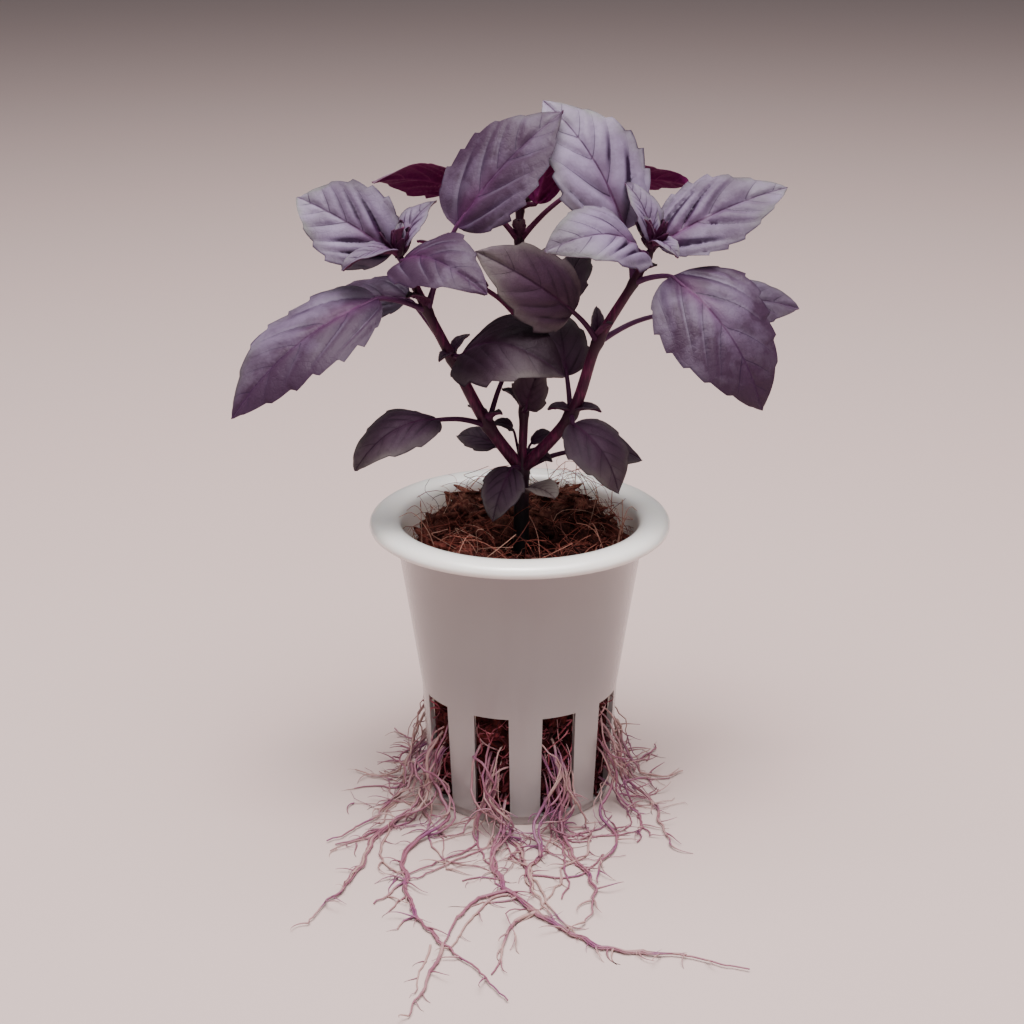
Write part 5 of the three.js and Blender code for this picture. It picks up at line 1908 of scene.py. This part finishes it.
@dataclass
class RootSystem:
    """The roots that leave the cup by its slots and spread on the surface, in millimetres."""

    cup: NetCup
    radius: float = 0.44
    tip_radius: float = 0.15
    fine_radius: float = 0.2
    level: float = 0.65
    fan: float = 20
    splay: float = 45
    # What a root passes on its way out: radius, share of its height there and what is added.
    leaving: tuple[Point, ...] = ((17.5, 1, 4), (19.6, 1, 2.5), (21.3, 1, 0), (22.8, 0.8, 0))
    landing_radius: float = 24.6
    bare_radius: float = 22.5
    sprouting: float = 0.5
    seed: int = 5

    def way(self, plan: RootPlan, aside: float) -> Array:
        """Gives the path of a long root.

        Args:
            plan: the root.
            aside: how far from the middle of its slot it leaves, in degrees of bearing.

        Returns:
            The points that it passes.
        """
        points = [np.array([x, y, self.level * plan.girth]) for x, y in plan.ground]
        if plan.slot is None:
            return np.array(points)
        bearing = self.cup.bearing(plan.slot) + aside
        landing = points[0] * (1, 1, 0)
        landing = landing / np.linalg.norm(landing) * self.landing_radius
        landing[2] = plan.leaves * 0.3
        out = [around(bearing, radius, plan.leaves * share + over) for radius, share, over in self.leaving]
        return np.array([*out, landing, *points])

    def bundle(self, plan: RootPlan, draw: random.Random) -> list[Strand]:
        """Makes a long root and the thinner ones that wind along it.

        Args:
            plan: the root.
            draw: where random numbers come from.

        Returns:
            For each one its path, its radius along it and its tint.
        """
        path = self.way(plan, draw.uniform(-4, 4))
        count = max(8, int(path_length(smooth_path(path, 80)) / 1.1))
        line = self.wander(smooth_path(path, count), draw, 0.5)
        share = np.linspace(0, 1, count)
        girth = self.radius * plan.girth
        taper = girth + (self.tip_radius - girth) * share ** 1.1
        neck = 1 - 0.35 * bell(np.arange(count), 10) * (plan.slot is not None)
        made = [(line, taper * neck, draw.random())]
        for _ in range(plan.mates):
            length = max(6, int(count * draw.uniform(0.5, 0.92)))
            phase, twist = draw.uniform(0, math.tau), draw.uniform(-0.42, 0.42)
            angle = phase + twist * np.arange(length)
            along = np.arange(length) / length
            spread = girth * 2.3 * (0.7 - 0.3 * along + 2.8 * bell(np.arange(length), 14))
            mate = line[:length].copy()
            forward = np.gradient(mate, axis=0)
            across = np.cross(forward, [0, 0, 1.0])
            across /= np.maximum(np.linalg.norm(across, axis=1), 1e-6)[:, None]
            mate += across * (np.cos(angle) * spread)[:, None]
            mate[:, 2] += np.sin(angle) * spread * np.where(mate[:, 2] > 1.5, 1.0, 0.5)
            thick = girth * draw.uniform(0.3, 0.66)
            made.append((mate, np.linspace(thick, thick * 0.4, length), draw.random()))
        return made

    def build(self, node: str, tree: Tree, material: Material) -> Piece:
        """Makes the roots of one node.

        Args:
            node: the node's name.
            tree: the tree that gives them thickness.
            material: their finish.

        Returns:
            The object.
        """
        draw = random.Random(f"{self.seed}{node}")
        lines: list[Strand] = []
        for plan in ROOTS[node]:
            lines.extend(self.bundle(plan, draw))
        slots = sorted({plan.slot for plan in ROOTS[node] if plan.slot is not None})
        count, (short, long) = FINE_ROOTS.get(node, BACK_FINE_ROOTS)
        for i in range(count):
            lines.append(self.fine(slots[i % len(slots)], draw, short, long))
        points, edges, thick, sprout, tint = [], [], [], [], []
        for line, radii, shade in lines:
            start = len(points)
            for i, (p, r) in enumerate(zip(line, radii)):
                out = math.hypot(p[0], p[1])
                points.append((p[0] * MM, p[1] * MM, max(p[2], r + 0.05) * MM))
                thick.append(r * MM)
                sprout.append(self.sprouting if out > self.bare_radius else 0.0)
                tint.append(shade)
                if i:
                    edges.append((start + i - 1, start + i))
        mesh = bpy.data.meshes.new(node)
        mesh.from_pydata(points, edges, [])
        for label, values in (("thickness", thick), ("sprout", sprout), ("tint", tint)):
            carry(mesh, label, values)
        piece = bpy.data.objects.new(f"{node}_strands", mesh)
        bpy.context.scene.collection.objects.link(piece)
        tree.apply(piece, {
            "Sides": 7, "Sprout Spacing": 4.2 * MM, "Shortest Sprout": 1.4 * MM, "Longest Sprout": 6.2 * MM,
            "Sprout Girth": 0.042, "Floor": 0.05 * MM, "Material": material,
        })
        return piece

    def wander(self, line: Array, draw: random.Random, size: float) -> Array:
        """Bends a path a little from side to side.

        Args:
            line: the path.
            draw: where random numbers come from.
            size: how far it goes, in millimetres.

        Returns:
            The new path.
        """
        shift = Vector((draw.uniform(0, 90), draw.uniform(0, 90), 0))
        moved = line.copy()
        for i, p in enumerate(line):
            at = Vector(p) * 0.21 + shift
            fine = Vector(p) * 0.6 + shift
            ease = min(1.0, i / 6)
            for axis in (0, 1):
                turn = Vector((axis * 31.0, axis * 17.0, 0))
                moved[i, axis] += ease * size * 2 * (noise.noise(at + turn) + 0.4 * noise.noise(fine + turn))
        return moved

    def fine(self, slot: int, draw: random.Random, short: float, long: float) -> Strand:
        """Makes a thin root that leaves a slot and runs out on the ground.

        Args:
            slot: the slot it leaves by.
            draw: where random numbers come from.
            short: the least that it runs on the ground.
            long: the most that it runs on the ground.

        Returns:
            Its path, its radius along it and its tint.
        """
        bearing = self.cup.bearing(slot) + draw.uniform(-8, 8)
        leaves = draw.uniform(2.5, 14)
        points = [
            around(bearing, 18, leaves + 2), around(bearing, 20.2, leaves + 0.8),
            around(bearing, 21.4 + draw.uniform(0, 0.8), leaves * 0.8),
            around(bearing + draw.uniform(-6, 6), 22.4 + draw.uniform(0, 2), leaves * 0.35),
        ]
        turn = bearing + draw.uniform(-self.fan, self.fan)
        out = 24 + draw.uniform(0, 3)
        reach = draw.uniform(short, long)
        drift = draw.uniform(-110, 110)
        here = around(turn, out, 0.3)
        points.append(here)
        turn += draw.uniform(-self.splay, self.splay)
        for _ in range(3):
            turn += drift / 3
            here = here + around(turn, reach / 3, 0)
            points.append(here)
        path = smooth_path(points, 40)
        count = max(10, int(path_length(path) / 1.6))
        line = self.wander(smooth_path(points, count), draw, 0.6)
        size = draw.uniform(0.5, 1.0) ** 2 * 1.9 * self.fine_radius
        return line, np.linspace(size, size * 0.35, count), draw.random()


# ---- studio


@dataclass
class Studio:
    """The floor, the soft lights and the camera."""

    floor_colour: Colour = (0.545, 0.41, 0.378)
    floor_patch: Colour = (0.55, 0.425, 0.4)
    camera_place: Point = (0.0, -0.4009, 0.2073)
    pitch: float = 0.347
    yaw: float = 0.004
    lens: float = 72.7
    aim: Point = (0, 0, 0.06)
    spread: float = 140
    lamp_colour: Colour = (1.0, 0.97, 0.98)
    sky_colour: Colour = (0.93, 0.92, 1.0)
    sky_strength: float = 0.17
    reach: float = 3.0
    # Name, place, width and power of each lamp.
    lamps: tuple[tuple[str, Point, float, float], ...] = (
        ("overhead", (0.02, -0.12, 0.95), 1.0, 15.0), ("key", (-0.02, -0.2, 0.95), 0.3, 3.2),
        ("front_fill", (0.3, -1.3, 0.7), 0.8, 2.2),
    )

    def floor(self) -> None:
        """Lays a plain pale floor."""
        mesh = bpy.data.meshes.new("floor")
        corners = [(x * self.reach, y * self.reach, 0) for x, y in ((-1, -1), (1, -1), (1, 1), (-1, 1))]
        mesh.from_pydata(corners, [], [(0, 1, 2, 3)])
        g = Graph("floor_paint")
        at = g.place()
        soft = g.fade(g.cloud(at, 3, 2), 0.3, 0.7, 0, 0.25)
        g.surface(Base_Color=g.mix(soft, self.floor_colour, self.floor_patch), Roughness=0.6)
        mesh.materials.append(g.material)
        plane = bpy.data.objects.new("floor", mesh)
        bpy.context.scene.collection.objects.link(plane)

    def lights(self) -> None:
        """Hangs a broad soft light and a small one above, and a weak fill in front."""
        for name, place, size, power in self.lamps:
            lamp = bpy.data.lights.new(name, "AREA")
            lamp.size = size
            lamp.energy = power
            lamp.spread = math.radians(self.spread)
            lamp.color = self.lamp_colour
            thing = bpy.data.objects.new(name, lamp)
            thing.location = place
            aim = Vector(self.aim) - Vector(place)
            thing.rotation_mode = "QUATERNION"
            thing.rotation_quaternion = aim.to_track_quat("-Z", "Y")
            bpy.context.scene.collection.objects.link(thing)
        world = bpy.data.worlds.new("studio")
        world.use_nodes = True
        sky = world.node_tree.nodes["Background"]
        sky.inputs["Color"].default_value = (*self.sky_colour, 1)
        sky.inputs["Strength"].default_value = self.sky_strength
        bpy.context.scene.world = world

    def camera(self) -> None:
        """Sets the camera in front of the plant, looking down a little."""
        data = bpy.data.cameras.new("camera")
        data.lens = self.lens
        data.sensor_width = 36
        data.clip_start = 0.01
        data.clip_end = 20
        thing = bpy.data.objects.new("camera", data)
        thing.location = self.camera_place
        thing.rotation_euler = (math.pi / 2 - self.pitch, 0, self.yaw)
        bpy.context.scene.collection.objects.link(thing)
        bpy.context.scene.camera = thing

    def build(self) -> None:
        """Sets up the whole studio."""
        self.floor()
        self.lights()
        self.camera()


# ---- assembly


def declare(piece: Piece, node: str) -> None:
    """Says what a piece rides on and what it stands for, hiding that node of the model.

    Args:
        piece: the object.
        node: the model's node that it stands for.
    """
    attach(piece, BODY)
    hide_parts(node)
    log.info("%s: %d faces", piece.name, len(piece.data.polygons))


def main() -> None:
    """Builds the studio and the plant, piece by piece."""
    logging.basicConfig(level=logging.INFO, format="%(name)s %(message)s")
    log.info("the packed model has %d nodes", len(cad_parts))
    Studio().build()
    cup = NetCup()
    declare(cup.build(CupFinish().material()), "net_cup")
    damp = FibreFinish("damp_fibre", (0.055, 0.008, 0.014), (0.26, 0.055, 0.075), (0.46, 0.27, 0.27))
    coir = CoirPlug(cup)
    soaked = CoirFinish("soaked_coir", (0.006, 0.0015, 0.002), (0.045, 0.007, 0.01), (0.145, 0.026, 0.03))
    for piece in coir.build(CoirFinish().material(), soaked.material(), FibreFinish().material(),
                            damp.material()):
        declare(piece, "growing_medium")

    leaf_looks = {tone: finish.material() for tone, finish in LEAF_FINISHES.items()}
    stem_look = StemFinish().material()
    shoots = [
        Shoot("main", "main_stem", [(0.3, 0, 45), (0.3, 0, 56), *MAIN_NODES, MAIN_TIP], MAIN_NODES,
              LEAFLETS["main"], MAIN_TIP, 20, 1.6, seed=1, slimming=0.6),
        Shoot("left", "left_shoot", [MAIN_NODES[0], *LEFT_NODES, LEFT_TIP], LEFT_NODES,
              LEAFLETS["left"], LEFT_TIP, 75, 1.25, seed=2),
        Shoot("right", "right_shoot", [MAIN_NODES[0], *RIGHT_NODES, RIGHT_TIP], RIGHT_NODES,
              LEAFLETS["right"], RIGHT_TIP, 130, 1.25, seed=3),
    ]
    for shoot in shoots:
        declare(shoot.stem(stem_look), shoot.node)
        for piece in shoot.small_leaves(leaf_looks):
            declare(piece, shoot.node)
    for index, plan in enumerate(LEAVES):
        quilt = 0.32 if plan.tone is Tone.SHADED else 0.5 if plan.shade > 0.7 else 0.85
        leaf = Leaf(plan, 100 + index, quilt=quilt)
        declare(leaf.build(leaf_looks[plan.tone]), plan.name)

    roots = RootSystem(cup)
    strands = strand_tree()
    root_look = RootFinish().material()
    for node in ROOTS:
        declare(roots.build(node, strands, root_look), node)


if __name__ == "__main__":
    main()
